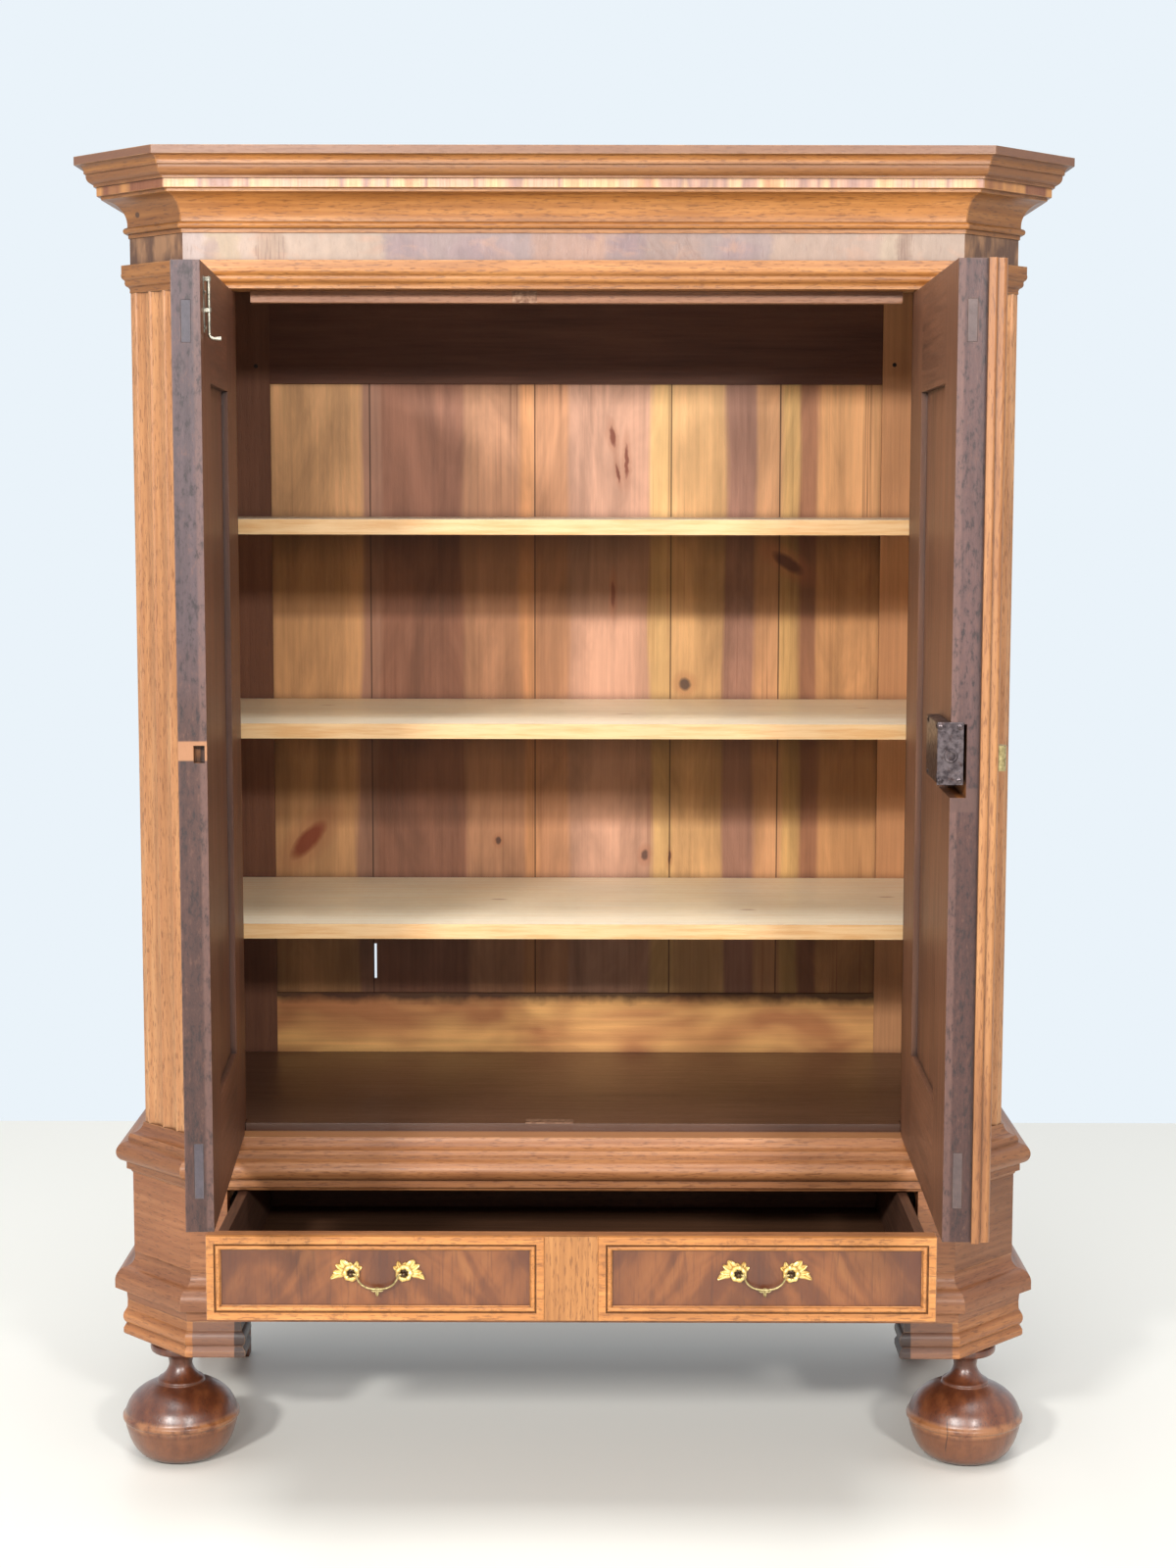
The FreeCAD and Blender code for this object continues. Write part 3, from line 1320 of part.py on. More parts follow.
def make_pulls():
    face = base_front + s.frame_height - s.field_wall
    for side, sign in (("left", -1), ("right", 1)):
        make_bail(side, pull_across * sign, face)
    roses = []
    for side, sign in (("left", -1), ("right", 1)):
        for hand in (-1, 1):
            end = "outer" if hand == sign else "inner"
            roses.append(rosette(f"rosette_{side}_{end}", pull_across * sign, hand, face))
    slide(keep(group("rosettes", *roses), "rosettes"))


def rosette(name, middle, hand, face):
    # A cast plate with leaves that point outwards, and a post drilled for the bail.
    centre = middle + hand * s.pull_width / 2
    outline = [
        (s.rosette_leaf_length * across * hand, s.rosette_radius * up) for across, up in rosette_shares
    ]
    plate = padded(f"{name}_plate", "XZ", outline, s.rosette_wall)
    put(plate, centre, face - s.rosette_wall, s.pull_level)
    post = block(
        f"{name}_post", (centre - s.post_radius, centre + s.post_radius), (face - s.post_length, face),
        (s.pull_level - s.post_radius, s.pull_level + s.post_radius))
    bore = rod(
        f"{name}_bore", s.pivot_radius + s.pin_clearance, s.post_radius * 2 + s.overrun * 2,
        (centre - s.post_radius - s.overrun, face - s.pivot_offset, s.pull_level), "X")
    return cut(name, fuse(f"{name}_blank", plate, post), bore)


def make_bail(side, middle, face):
    # A bent wire with a cast leaf in its middle, hanging from its two pivots.
    line = face - s.pivot_offset
    inner = s.pull_width / 2 - s.post_radius - s.bail_radius - s.fit_gap * 2
    bend = s.bail_drop * bail_bend_share
    quarter = [(bend * across - inner, bend * up - s.bail_drop) for across, up in bend_shares]
    path = [(-inner, s.bail_radius)] + quarter
    path += [(-across, up) for across, up in reversed(path)]
    section = [(s.bail_radius * across, s.bail_radius * along) for across, along in round_shares]
    wire = swept(
        f"bail_{side}_wire", section, flat, (middle - inner, line, s.pull_level + s.bail_radius),
        path, upright, (middle, line, s.pull_level))
    pivots = [
        rod(f"bail_{side}_pivot_{end}", s.pivot_radius, s.pivot_length, (start, line, s.pull_level), "X")
        for end, start in (("left", middle - inner - s.pivot_length), ("right", middle + inner))
    ]
    outline = [
        (s.bail_leaf_half_width * across, s.bail_leaf_half_height * up) for across, up in bail_leaf_shares
    ]
    leaf = padded(f"bail_{side}_leaf", "XZ", outline, s.bail_leaf_wall)
    put(leaf, middle, line - s.bail_leaf_wall / 2, s.pull_level - s.bail_drop)
    slide(keep(fuse(f"bail_{side}", wire, *pivots, leaf), f"bail_{side}"))


def check_and_write():
    doc.recompute()
    bad = [obj.Name for obj in doc.Objects if {"Invalid", "Error"} & set(obj.State)]
    for obj in finished:
        if obj.Shape.isNull() or not obj.Shape.isValid() or not obj.Shape.Solids:
            bad.append(obj.Label)
    if bad:
        raise RuntimeError(f"failed objects: {bad}")
    os.makedirs("parts", exist_ok=True)
    for obj in finished:
        obj.Shape.exportStep(f"parts/{obj.Label}.step")
        print(obj.Label, len(obj.Shape.Solids), round(obj.Shape.Volume))
    print("nodes", len(finished))


make_cornice()
make_frieze()
make_capitals()
make_pilasters()
make_corner_posts()
make_front_rail()
make_stop_batten()
make_waist_and_base()
make_brackets()
make_corner_blocks()
make_feet()
make_sides()
make_back()
make_floor()
make_shelves()
make_top()
make_jamb_hinges()
make_left_door()
make_right_door()
make_drawer()
make_runners()
make_pulls()
check_and_write()
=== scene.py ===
import math

import bmesh
import bpy
from mathutils import Matrix, Vector


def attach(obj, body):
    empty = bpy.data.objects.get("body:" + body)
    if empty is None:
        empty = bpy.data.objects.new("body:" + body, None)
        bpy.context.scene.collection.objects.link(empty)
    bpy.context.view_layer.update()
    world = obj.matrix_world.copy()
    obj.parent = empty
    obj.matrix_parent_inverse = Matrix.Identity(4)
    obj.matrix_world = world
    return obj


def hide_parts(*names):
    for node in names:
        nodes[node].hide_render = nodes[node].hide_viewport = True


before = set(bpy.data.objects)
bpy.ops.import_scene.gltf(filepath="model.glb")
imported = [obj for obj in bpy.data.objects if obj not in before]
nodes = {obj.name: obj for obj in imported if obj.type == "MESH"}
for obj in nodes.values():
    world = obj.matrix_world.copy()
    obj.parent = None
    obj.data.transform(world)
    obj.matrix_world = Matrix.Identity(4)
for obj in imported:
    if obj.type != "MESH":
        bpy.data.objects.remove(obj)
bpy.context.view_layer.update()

print("stage: frame loaded")

cameraLook = {
    "place": (0.03043, -3.72416, 1.46182), "yaw": 0.13, "pitch": 83.58, "roll": 0.09,
    "lens": 58.7, "sensor": 36, "clipEnd": 60,
}


def makeCamera(look):
    data = bpy.data.cameras.new("camera")
    data.sensor_fit = "VERTICAL"
    data.sensor_height = look["sensor"]
    data.lens = look["lens"]
    data.clip_end = look["clipEnd"]
    camera = bpy.data.objects.new("camera", data)
    bpy.context.collection.objects.link(camera)
    place = Matrix.Translation(look["place"])
    for turn, axis in (("yaw", "Z"), ("pitch", "X"), ("roll", "Z")):
        place = place @ Matrix.Rotation(math.radians(look[turn]), 4, axis)
    camera.matrix_world = place
    bpy.context.scene.camera = camera


makeCamera(cameraLook)


def linear(tone):
    # a picture's tone in hex as linear light; four values are linear already
    if not isinstance(tone, str):
        return tone
    out = []
    for start in (0, 2, 4):
        share = int(tone[start:start + 2], 16) / 255
        out.append(share / 12.92 if share <= 0.04045 else ((share + 0.055) / 1.055) ** 2.4)
    return (*out, 1)


bench = {}  # the material or world that new nodes go to


def startNodes(owner):
    owner.use_nodes = True
    owner.node_tree.nodes.clear()
    bench.update({"owner": owner, "tree": owner.node_tree})


def feed(socket, value):
    if isinstance(value, bpy.types.NodeSocket):
        bench["tree"].links.new(value, socket)
    elif value is not None:
        socket.default_value = linear(value) if socket.type == "RGBA" else value


def node(kind, fed=(), **settings):
    # a new node's outputs
    made = bench["tree"].nodes.new(kind)
    for key, value in settings.items():
        setattr(made, key, value)
    for socket, value in dict(fed).items():
        feed(made.inputs[socket], value)
    return made.outputs


def calc(operation, *values):
    return node("ShaderNodeMath", enumerate(values), operation=operation)[0]


def times(*values):
    product = values[0]
    for value in values[1:]:
        product = calc("MULTIPLY", product, value)
    return product


def plus(first, second):
    return calc("ADD", first, second)


def minus(first, second):
    return calc("SUBTRACT", first, second)


def absolute(value):
    return calc("ABSOLUTE", value)


def added(value, extra, share):
    # the value and a share of something more
    return calc("MULTIPLY_ADD", extra, share, value)


def nudged(value, wander, amount):
    # the value pushed up and down by a noise
    return added(value, minus(wander, 0.5), amount)


def mix(factor, first, second, blend="MIX"):
    # several factors in a tuple are multiplied
    factor = times(*factor) if isinstance(factor, tuple) else factor
    fed = {0: factor, 6: first, 7: second}
    return node("ShaderNodeMix", fed, data_type="RGBA", blend_type=blend, clamp_factor=True)[2]


def tinted(tone, dye, factor=1):
    return mix(factor, tone, dye, "MULTIPLY")


def dimmed(tone, share, factor=1):
    return tinted(tone, joined(share, share, share), factor)


def noise(scale, detail=2, rough=0.5, warp=0, over=None, move=(0, 0, 0), zoom=1):
    # a cloudy value; a scale of three numbers stretches it along the axes
    over = objectPlace() if over is None else over
    if isinstance(scale, tuple):
        over = scaled(over, scale, move)
    else:
        zoom = scale
    return node("ShaderNodeTexNoise", {
        "Vector": over, "Scale": zoom, "Detail": detail, "Roughness": rough, "Distortion": warp})[0]


def waves(over, scale, warp, detail):
    fed = {"Vector": over, "Scale": scale, "Distortion": warp, "Detail": detail, "Detail Scale": 1.5}
    return node("ShaderNodeTexWave", fed, wave_type="BANDS", bands_direction="Y")["Fac"]


def span(value, low, high, outLow=0, outHigh=1):
    fed = enumerate((value, low, high, outLow, outHigh))
    return node("ShaderNodeMapRange", fed, clamp=True)[0]


def between(value, low, high, soft=0.0005):
    # 1 inside the limits, 0 outside
    rise = span(value, low - soft, low + soft)
    return times(rise, span(value, high - soft, high + soft, 1, 0))


def spot(across, up, at, reach, soft=0.5, lean=0):
    # 1 inside an oval, fading towards its rim; the lean turns it, in degrees
    cosine, sine = math.cos(math.radians(lean)), math.sin(math.radians(lean))
    across, up = minus(across, at[0]), minus(up, at[1])
    first = plus(times(across, cosine / reach[0]), times(up, sine / reach[0]))
    second = minus(times(up, cosine / reach[1]), times(across, sine / reach[1]))
    return span(plus(times(first, first), times(second, second)), 1, soft)


def ramp(value, stops):
    tones = node("ShaderNodeValToRGB", {0: value})[0]
    elements = tones.node.color_ramp.elements
    while len(elements) < len(stops):
        elements.new(0.5)
    for element, (place, tone) in zip(elements, stops):
        element.position = place
        element.color = linear(tone)
    return tones


def scaled(over, scale, move=(0, 0, 0)):
    return node("ShaderNodeMapping", {"Vector": over, "Location": move, "Scale": scale})[0]


def objectPlace():
    return node("ShaderNodeTexCoord")["Object"]


def split(vector):
    return node("ShaderNodeSeparateXYZ", {0: vector})


def axes():
    return split(objectPlace())


def joined(*values):
    return node("ShaderNodeCombineXYZ", enumerate(values))[0]


def bevel(radius):
    return node("ShaderNodeBevel", {"Radius": radius}, samples=4)[0]


def bump(height, strength, depth, normal=None):
    fed = {"Height": height, "Strength": strength, "Distance": depth, "Normal": normal}
    return node("ShaderNodeBump", fed)[0]


def finish(tone, rough, normal=None, **fixed):
    fed = {name.replace("_", " "): value for name, value in fixed.items()}
    fed.update({"Base Color": tone, "Roughness": rough, "Normal": normal})
    shader = node("ShaderNodeBsdfPrincipled", fed)
    node("ShaderNodeOutputMaterial", {0: shader[0]})
    return bench["owner"]


stageLook = {
    "floorSize": (14, 7.16), "floorMiddle": (0, -1.42, 0), "floorTones": ("f4f3eb", "f9f8f2"),
    "nearTone": "ecebe4", "nearFrom": 0.3, "nearTo": 0.15,
    "air": 0.42, "airTone": (0.95, 0.97, 1, 1), "wallTone": "eaf3fa",
}
frontLamp = {"aim": (0, 0.1, 1), "size": (0.55, 0.3), "tone": (1, 0.985, 0.955)}
lampLooks = {
    "leftLamp": {**frontLamp, "at": (-2.25, -4.9, 2.9), "power": 217},
    "rightLamp": {**frontLamp, "at": (1.85, -5, 2.6), "power": 135},
    "middleLamp": {
        **frontLamp, "at": (-0.8, -5.2, 2.75), "size": (0.9, 0.4), "power": 66, "tone": (1, 0.99, 0.97)},
    "topLamp": {
        "at": (0, -0.7, 4.6), "aim": (0, 0.2, 0.6), "size": (3.8, 2.6), "power": 168, "tone": (1, 1, 1)},
}


def makeStage(look, lamps):
    bpy.ops.mesh.primitive_plane_add(size=1)
    floor = bpy.context.object
    floor.name = "floor"
    floor.scale = (*look["floorSize"], 1)
    floor.location = look["floorMiddle"]
    startNodes(bpy.data.materials.new("floorTone"))
    tone = mix(noise(2.5, 3), *look["floorTones"])
    # painted shade: the floor near the front of the piece is a little darker
    near = span(axes()[1], look["nearFrom"], look["nearTo"])
    tone = mix(near, tone, look["nearTone"])
    floor.data.materials.append(finish(tone, 0.42, Specular_IOR_Level=0.4))
    # the room's air lights the piece; the pale wall is what the camera and reflections see
    bpy.context.scene.world = bpy.data.worlds.new("world")
    startNodes(bpy.context.scene.world)
    rays = node("ShaderNodeLightPath")
    seen = rays["Is Camera Ray"]
    for ray in ("Is Glossy Ray", "Is Transmission Ray"):
        seen = calc("MAXIMUM", seen, rays[ray])
    air = node("ShaderNodeBackground", {0: look["airTone"], 1: look["air"]})
    wall = node("ShaderNodeBackground", {0: look["wallTone"], 1: 1})
    blend = node("ShaderNodeMixShader", {0: seen, 1: air[0], 2: wall[0]})
    node("ShaderNodeOutputWorld", {0: blend[0]})
    for name, lampLook in lamps.items():
        data = bpy.data.lights.new(name, "AREA")
        data.shape = "RECTANGLE"
        data.size, data.size_y = lampLook["size"]
        data.energy = lampLook["power"]
        data.color = lampLook["tone"]
        lamp = bpy.data.objects.new(name, data)
        bpy.context.collection.objects.link(lamp)
        lamp.location = lampLook["at"]
        way = Vector(lampLook["aim"]) - Vector(lampLook["at"])
        lamp.rotation_euler = way.to_track_quat("-Z", "Y").to_euler()
    bpy.context.scene.view_settings.view_transform = "Standard"


makeStage(stageLook, lampLooks)
print("stage: camera, floor and light made")

# each door's pin, how far it stands open, and the way its closed leaf runs
leafLooks = {
    "left": {"pin": (-0.5293, -0.005), "turn": -86.65, "hand": 1, "width": 0.51},
    "right": {"pin": (0.5293, -0.005), "turn": 88.67, "hand": -1, "width": 0.546},
}


def leafPlace(side):
    # distance from the pin along the leaf, height, and depth from its outer face
    look = leafLooks[side]
    angle = math.radians(look["turn"])
    x, y, z = axes()
    x, y = minus(x, look["pin"][0]), minus(y, look["pin"][1])
    alongX, alongY = math.cos(angle) * look["hand"], math.sin(angle) * look["hand"]
    along = plus(times(x, alongX), times(y, alongY))
    depth = plus(times(x, -math.sin(angle)), times(y, math.cos(angle)))
    return along, z, minus(depth, -look["pin"][1])


def grainPlace(grain):
    # the piece's coordinates with the grain running along the first axis
    side, _, way = grain.partition(" ")
    if way:
        along, z, depth = leafPlace(side)
        return joined(z, along, depth) if way == "up" else joined(along, z, depth)
    x, y, z = axes()
    orders = {"x": (x, y, z), "y": (y, x, z), "z": (z, x, y)}
    if grain in orders:
        return joined(*orders[grain])
    # a moulding: the grain follows its run, square to the outward normal
    normal = split(node("ShaderNodeNewGeometry")["True Normal"])
    flat = node("ShaderNodeVectorMath", {0: joined(normal[0], normal[1], 0)}, operation="NORMALIZE")
    outX, outY, _ = split(flat[0])
    along, out = minus(times(x, outY), times(y, outX)), plus(times(x, outX), times(y, outY))
    return joined(along, z, out)


cantLook = {"mitre": 22.5, "start": 0.5632, "friezeStart": 0.56, "soft": 0.0004}


def cantMask(start=cantLook["start"]):
    # 1 on the cut corners and the sides, past the mitres of the front
    x, y, _ = axes()
    past = added(absolute(x), y, math.tan(math.radians(cantLook["mitre"])))
    return span(past, start - cantLook["soft"], start + cantLook["soft"])


def wornEdges(radius):
    # 1 along the edges, where hands and brushes have rubbed and where a painted highlight stands for the
    # light they catch
    normals = enumerate((bevel(radius), node("ShaderNodeNewGeometry")["Normal"]))
    dot = node("ShaderNodeVectorMath", normals, operation="DOT_PRODUCT")
    return span(dot["Value"], 0.97, 0.75)


def grimeIn(reach):
    # 1 in corners and grooves; the woods darken them with old dust and painted shade, the metals with tarnish
    near = node("ShaderNodeAmbientOcclusion", {"Distance": reach}, samples=6)
    return span(near["AO"], 0.86, 0.42)


# what a wood has unless its own look says otherwise
woodBase = {
    "grain": "run", "move": (0, 0, 0), "rings": 26, "warp": 5, "figure": 0.1, "drift": 0.42, "fibre": 0.42,
    "pores": 0.5, "wear": 0.4, "wearSize": 0.0024, "grime": 0.55, "grimeReach": 0.02, "grimeTone": "4a2818",
    "rough": 0.42, "coat": 0.12, "gloss": 0.45, "relief": 0.25, "reliefDepth": 0.0006, "edgeRound": 0.0012,
}


def makeWood(name, look):
    # slow drift, growth figure, fibres, pores, darker hollows from dust and painted shade, and paler edges
    # from wear and painted highlight
    look = {**woodBase, **look}
    startNodes(bpy.data.materials.new(name))
    place = grainPlace(look["grain"])
    own = {"over": place, "move": look["move"]}
    drift = noise((0.7, 5.5, 5.5), 3, 0.55, 0.6, zoom=2.2, **own)
    figure = waves(scaled(place, (0.16, 1, 1), look["move"]), look["rings"], look["warp"], 3)
    fibre = noise((5, 120, 120), 4, 0.62, **own)
    pores = noise((62, 420, 420), 3, 0.55, **own)
    poreMask = span(pores, 0.55, 0.63)
    amount = added(times(figure, look["figure"]), span(drift, 0.3, 0.7), look["drift"])
    amount = added(amount, span(fibre, 0.28, 0.72), look["fibre"])
    tones = [linear(tone) for tone in look["tones"].split()]
    if len(tones) == 2:
        tones.insert(1, tuple((a + b) / 2 for a, b in zip(*tones)))
    tone = ramp(amount, list(zip((0, 0.5, 1), tones)))
    tone = mix((poreMask, look["pores"]), tone, look["pore"])
    if "paint" in look:
        tone = look["paint"](tone, place)
    patchy = span(noise(30, 4, 0.62), 0.38, 0.66)
    # paler edges: rubbed wear and a painted highlight
    worn = times(wornEdges(look["wearSize"]), patchy, look["wear"])
    tone = mix(worn, tone, look.get("wornTone", tones[2]))
    # darker hollows: old dust and painted shade
    tone = mix((grimeIn(look["grimeReach"]), look["grime"]), tone, look["grimeTone"])
    tone = dimmed(tone, span(noise(5.5, 4, 0.6), 0.35, 0.75, 0.88, 1.05), 0.8)
    rough = span(plus(pores, fibre), 0.6, 1.4, look["rough"] + 0.1, look["rough"] - 0.06)
    height = added(times(fibre, 0.8), poreMask, -1)
    relief = bump(height, look["relief"], look["reliefDepth"], bevel(look["edgeRound"]))
    return finish(
        tone, rough, relief, Coat_Weight=look["coat"], Coat_Roughness=0.28, Specular_IOR_Level=look["gloss"])


def dress(material, pieces):
    for name in pieces.split():
        for slot in nodes[name].material_slots:
            slot.material = material


def wood(name, pieces, look, **changes):
    # a wood for these pieces, from a look and what they change in it
    material = makeWood(name, {**look, **changes})
    dress(material, pieces)
    return material


def darker(tone, mask, share):
    # painted shade: the same tone with less light thrown back
    return mix(mask, tone, tinted(tone, (share, share * 0.97, share * 0.94, 1)))


def lit(tone, light=1.85):
    # a surface's own colour, from how it looks where this much light falls on it
    return (*(min(value / light, 0.95) for value in linear(tone)[:3]), 1)


def shaded(tone, place, move=(0, 0, 0), low=0.8, high=1.12):
    # lighter and darker fibres over a painted tone
    fine = noise((4, 150, 150), 4, 0.62, over=place, move=move)
    broad = noise((0.8, 26, 26), 3, 0.55, over=place, move=move)
    return dimmed(tone, span(added(times(fine, 0.5), broad, 0.5), 0.36, 0.64, low, high))


def bands(value, low, high, stops, soft=0.004):
    # side by side tones across a width; each stop is where a tone starts
    ends = [start for start, _ in stops[1:]] + [high]
    marks = []
    for (start, tone), end in zip(stops, ends):
        for at in (start + soft, end - soft):
            marks.append(((at - low) / (high - low), tone))
    return ramp(span(value, low, high), marks)


bandLook = {
    "low": 1.8953, "high": 1.9082,
    "tones": [
        (0.3, "cea076"), (0.38, "d2a288"), (0.44, "d6ac80"), (0.48, "9e7a70"),
        (0.52, "d0a084"), (0.57, "deb684"), (0.62, "c48c62"), (0.68, "a67e76")],
    "cantTones": [(0.35, "865232"), (0.46, "78442a"), (0.54, "c48a4e"), (0.66, "824e32")],
    "lineTone": "96684e", "cantShade": 0.62,
    "fascia": (1.9375, 1.9385), "fasciaTone": "6c4a3a",
    "ovolo": (1.909, 1.9285), "ovoloTone": "7a4e2e",
    "holes": ((-0.672, 1.868), (-0.636, 1.868)), "holeSize": (0.0045, 0.0045), "holeTone": "341c12",
}


def veneerBand(tone, place):
    # the cross-grained veneer band of the cornice, in short bits; the cut corners and the ovolo under the
    # overhang get painted shade
    look = bandLook
    x, _, z = axes()
    along = split(place)[0]
    bits = noise(1, over=joined(times(along, 15), times(z, 2), 0))
    mask = cantMask()
    # the band's darker tones on the cut corners are painted shade
    piece = mix(mask, ramp(bits, look["tones"]), ramp(bits, look["cantTones"]))
    lines = noise((330, 9, 9), over=place)
    piece = mix(span(lines, 0.42, 0.7, 0, 0.4), piece, look["lineTone"])
    # painted shade: the cut corners darker
    tone = darker(tone, mask, look["cantShade"])
    tone = mix((span(z, *look["fascia"]), 0.8), tone, look["fasciaTone"])
    # painted shade: a darker band on the ovolo under the overhang
    tone = mix((between(z, *look["ovolo"]), 0.6), tone, look["ovoloTone"])
    for at in look["holes"]:
        tone = mix((spot(x, z, at, look["holeSize"]), mask, 0.8), tone, look["holeTone"])
    return mix(between(z, look["low"], look["high"]), tone, piece)


# paints the cut corners and the sides darker by this share: painted shade
def cantedOak(share):
    def paint(tone, place):
        return darker(tone, cantMask(), share)
    return paint


cornerLook = {
    "side": (0.6512, 0.6518), "sideTone": "a86d38",
    "right": (0.5, 0.6), "plinthShade": 0.62, "bracketShade": 0.95,
    "mitre": (0.566, 0.5665), "frontTone": "6c4e44", "sawn": (0.5035, 0.5045), "sawnTone": "2c201e",
    "fleckTone": "784a26",
}


def postSkin(tone, place):
    # the narrow outer face is finished like the side
    outer = span(absolute(axes()[0]), *cornerLook["side"])
    return mix(outer, tone, shaded(cornerLook["sideTone"], place, (4, 4, 2), 0.75, 1.15))


def rightShade(tone, place):
    # painted shade: the right side is painted darker, as the light comes from the left
    return darker(tone, span(axes()[0], *cornerLook["right"]), cornerLook["plinthShade"])


def bracketEnds(tone, place):
    # the front returns under the drawer are painted darker, a painted shade, and the sawn ends towards the
    # middle stayed unpolished; the right bracket is painted a little darker, a painted shade
    x = axes()[0]
    away = absolute(x)
    for limits, amount, dull in (("mitre", 0.75, "frontTone"), ("sawn", 0.9, "sawnTone")):
        inside = span(away, *cornerLook[limits], 1, 0)
        tone = mix((inside, amount), tone, cornerLook[dull])
    return darker(tone, span(x, *cornerLook["right"]), cornerLook["bracketShade"])


def frameGrain(tone, place):
    # darker flecks over the drawer's light frames
    fleck = noise((70, 70, 70), 3, 0.7)
    return mix(span(fleck, 0.56, 0.68, 0, 0.55), tone, cornerLook["fleckTone"])


oakLook = {"tones": "7e4a22 a86d36 cc8f50", "pore": "5c3218"}


def makeOaks():
    polish = {"grime": 0.85, "grimeReach": 0.012, "wear": 0.6}
    wood("oakCornice", "cornice", oakLook, **polish, paint=veneerBand, wornTone="e2b07e")
    honey = {**oakLook, **polish, "wornTone": "e0ac78"}
    wood("oakHead", "architrave capitals", honey, move=(3, 1, 2), paint=cantedOak(0.66))
    wood("oakWaist", "waist_moulding", honey, move=(5, 3, 1), paint=cantedOak(0.85),
         tones="744428 9c663e c0885a")
    wood("oakBase", "base_moulding", honey, move=(7, 2, 4), paint=cantedOak(0.9),
         tones="724228 945f3c b67c52")
    wood("oakBracket", "bracket_left bracket_right", honey, move=(2, 6, 1), paint=bracketEnds,
         tones="824e2a a86c3e cc8e58")
    upright = {**oakLook, "grain": "z"}
    wood("oakPilaster", "pilaster_left pilaster_right", upright, move=(1, 4, 2), warp=3.5,
         tones="8c5a36 b68054 d6a676", wornTone="ecc296", grimeReach=0.01, grime=0.75, wear=0.6)
    wood("oakSide", "side_frames", upright, move=(4, 4, 2), warp=3.5)
    wood("oakSidePanel", "side_panels", upright, move=(2, 8, 3), warp=9, rings=12, figure=0.3)
    wood("oakPost", "corner_post_left corner_post_right", upright, move=(5, 2, 7), coat=0, paint=postSkin,
         tones="42281c 5a3826 744c34")
    wood("oakPlinth", "plinth_left plinth_right", oakLook, move=(8, 2, 1), figure=0.1, paint=rightShade,
         tones="764226 98603a b2784e")
    rail = {**oakLook, "grain": "x"}
    wood("oakTopRail", "front_top_rail", rail, move=(2, 3, 9))
    wood("oakBatten", "stop_batten", rail, move=(4, 1, 3), coat=0, tones="6c4026 92603e b4805a")
    wood("oakFrame", "drawer_frames", oakLook, move=(3, 3, 9), grime=0.6, grimeReach=0.005, paint=frameGrain,
         tones="8c5428 c07e42 dea060", wornTone="e8b276")
    wood("oakCentre", "drawer_centre", upright, move=(6, 3, 2), rings=40, tones="8a582e ac7440 c48e56")
    wood("oakDrawerFront", "drawer_front", rail, tones="78482c a06a44 be885c")
    dull = {"coat": 0, "rough": 0.6, "gloss": 0.3, "pore": "2e1c14"}
    wood("oakBackRail", "cornice_back_rail drawer_back", {**rail, **dull}, tones="462a1c 5c3a26 764c32")
    wood("oakDrawerSide", "drawer_sides", {**oakLook, **dull}, grain="y", tones="3c261a 543626 6e4a34")
    wood("oakStrip", "closing_strip", upright, move=(9, 9, 1), grimeReach=0.008, grime=0.8,
         tones="704224 966238 ba8656")


doorLook = {
    "tones": "78421e a06230 c48246", "coat": 0.12, "rough": 0.5, "wear": 0.3,
    "wornTone": lit("c49c80"), "grime": 0.75, "grimeReach": 0.012, "grimeTone": "22140e",
}
# the left leaf's inner face is painted darker than the right's, a painted shade; the mauve edge and tenon
# tones are a painted reflection of the pale wall
doorSkins = {
    "left": {
        "inner": ("361d11", "683b24"), "tenon": (lit("3e3842"), lit("6a626c")),
        "edgeTop": (lit("4e4048"), lit("84727a")), "edgeLow": (lit("54342e"), lit("805c50")),
        "split": 1.22, "patch": (1.129, 1.1535), "patchTone": lit("de9c6c"), "move": (6, 3, 1),
    },
    "right": {
        "inner": ("462a1c", "80533a"), "tenon": (lit("544242"), lit("846e6a")),
        "edgeTop": (lit("604444"), lit("9c7a76")), "edgeLow": (lit("50302c"), lit("825a50")),
        "split": 1.1, "patch": (1.07, 1.1), "patchTone": lit("704c42"), "move": (2, 7, 4),
    },
}


def doorPaint(side, tenon=False):
    # a dark inner face, darker on the left leaf as painted shade, and a closing edge with blots, pale rims
    # and a repair, its mauve cast a painted reflection of the pale wall
    look = doorSkins[side]
    width = leafLooks[side]["width"]

    def paint(tone, place):
        along, z, depth = leafPlace(side)
        fibre = noise((5, 110, 110), 4, 0.62, over=place, move=look["move"])
        drift = noise((1.2, 9, 9), 3, 0.55, over=place, move=look["move"])
        amount = plus(span(fibre, 0.3, 0.7, 0, 0.55), span(drift, 0.3, 0.7, 0, 0.45))
        inner, low, top = (mix(amount, *look[part]) for part in ("inner", "edgeLow", "edgeTop"))
        tone = mix(span(depth, 0.0262, 0.0274), tone, inner)
        wander = added(z, noise(14, over=joined(z, 0, 0)), 0.12)
        edge = mix(span(wander, look["split"], look["split"] + 0.14), low, top)
        blots = noise((64, 150, 150), 5, 0.74, over=place, move=(3, 1, 2))
        edge = mix(span(blots, 0.56, 0.68, 0, 0.35), edge, lit("ba8e76"))
        edge = mix(span(blots, 0.49, 0.37, 0, 0.85), edge, lit("321e20"))
        rims = plus(span(depth, 0.026, 0.029), span(depth, 0.002, 0))
        edge = mix((rims, span(blots, 0.36, 0.5, 0.1, 0.42)), edge, lit("bc9a8e"))
        edge = tinted(edge, (0.64, 0.5, 0.47, 1))
        if tenon:
            edge = mix(0.85, edge, mix(amount, *look["tenon"]))
        else:
            edge = mix((between(z, *look["patch"], 0.001), 0.8), edge, look["patchTone"])
        return mix(span(along, width - 0.0016, width - 0.0011), tone, edge)
    return paint


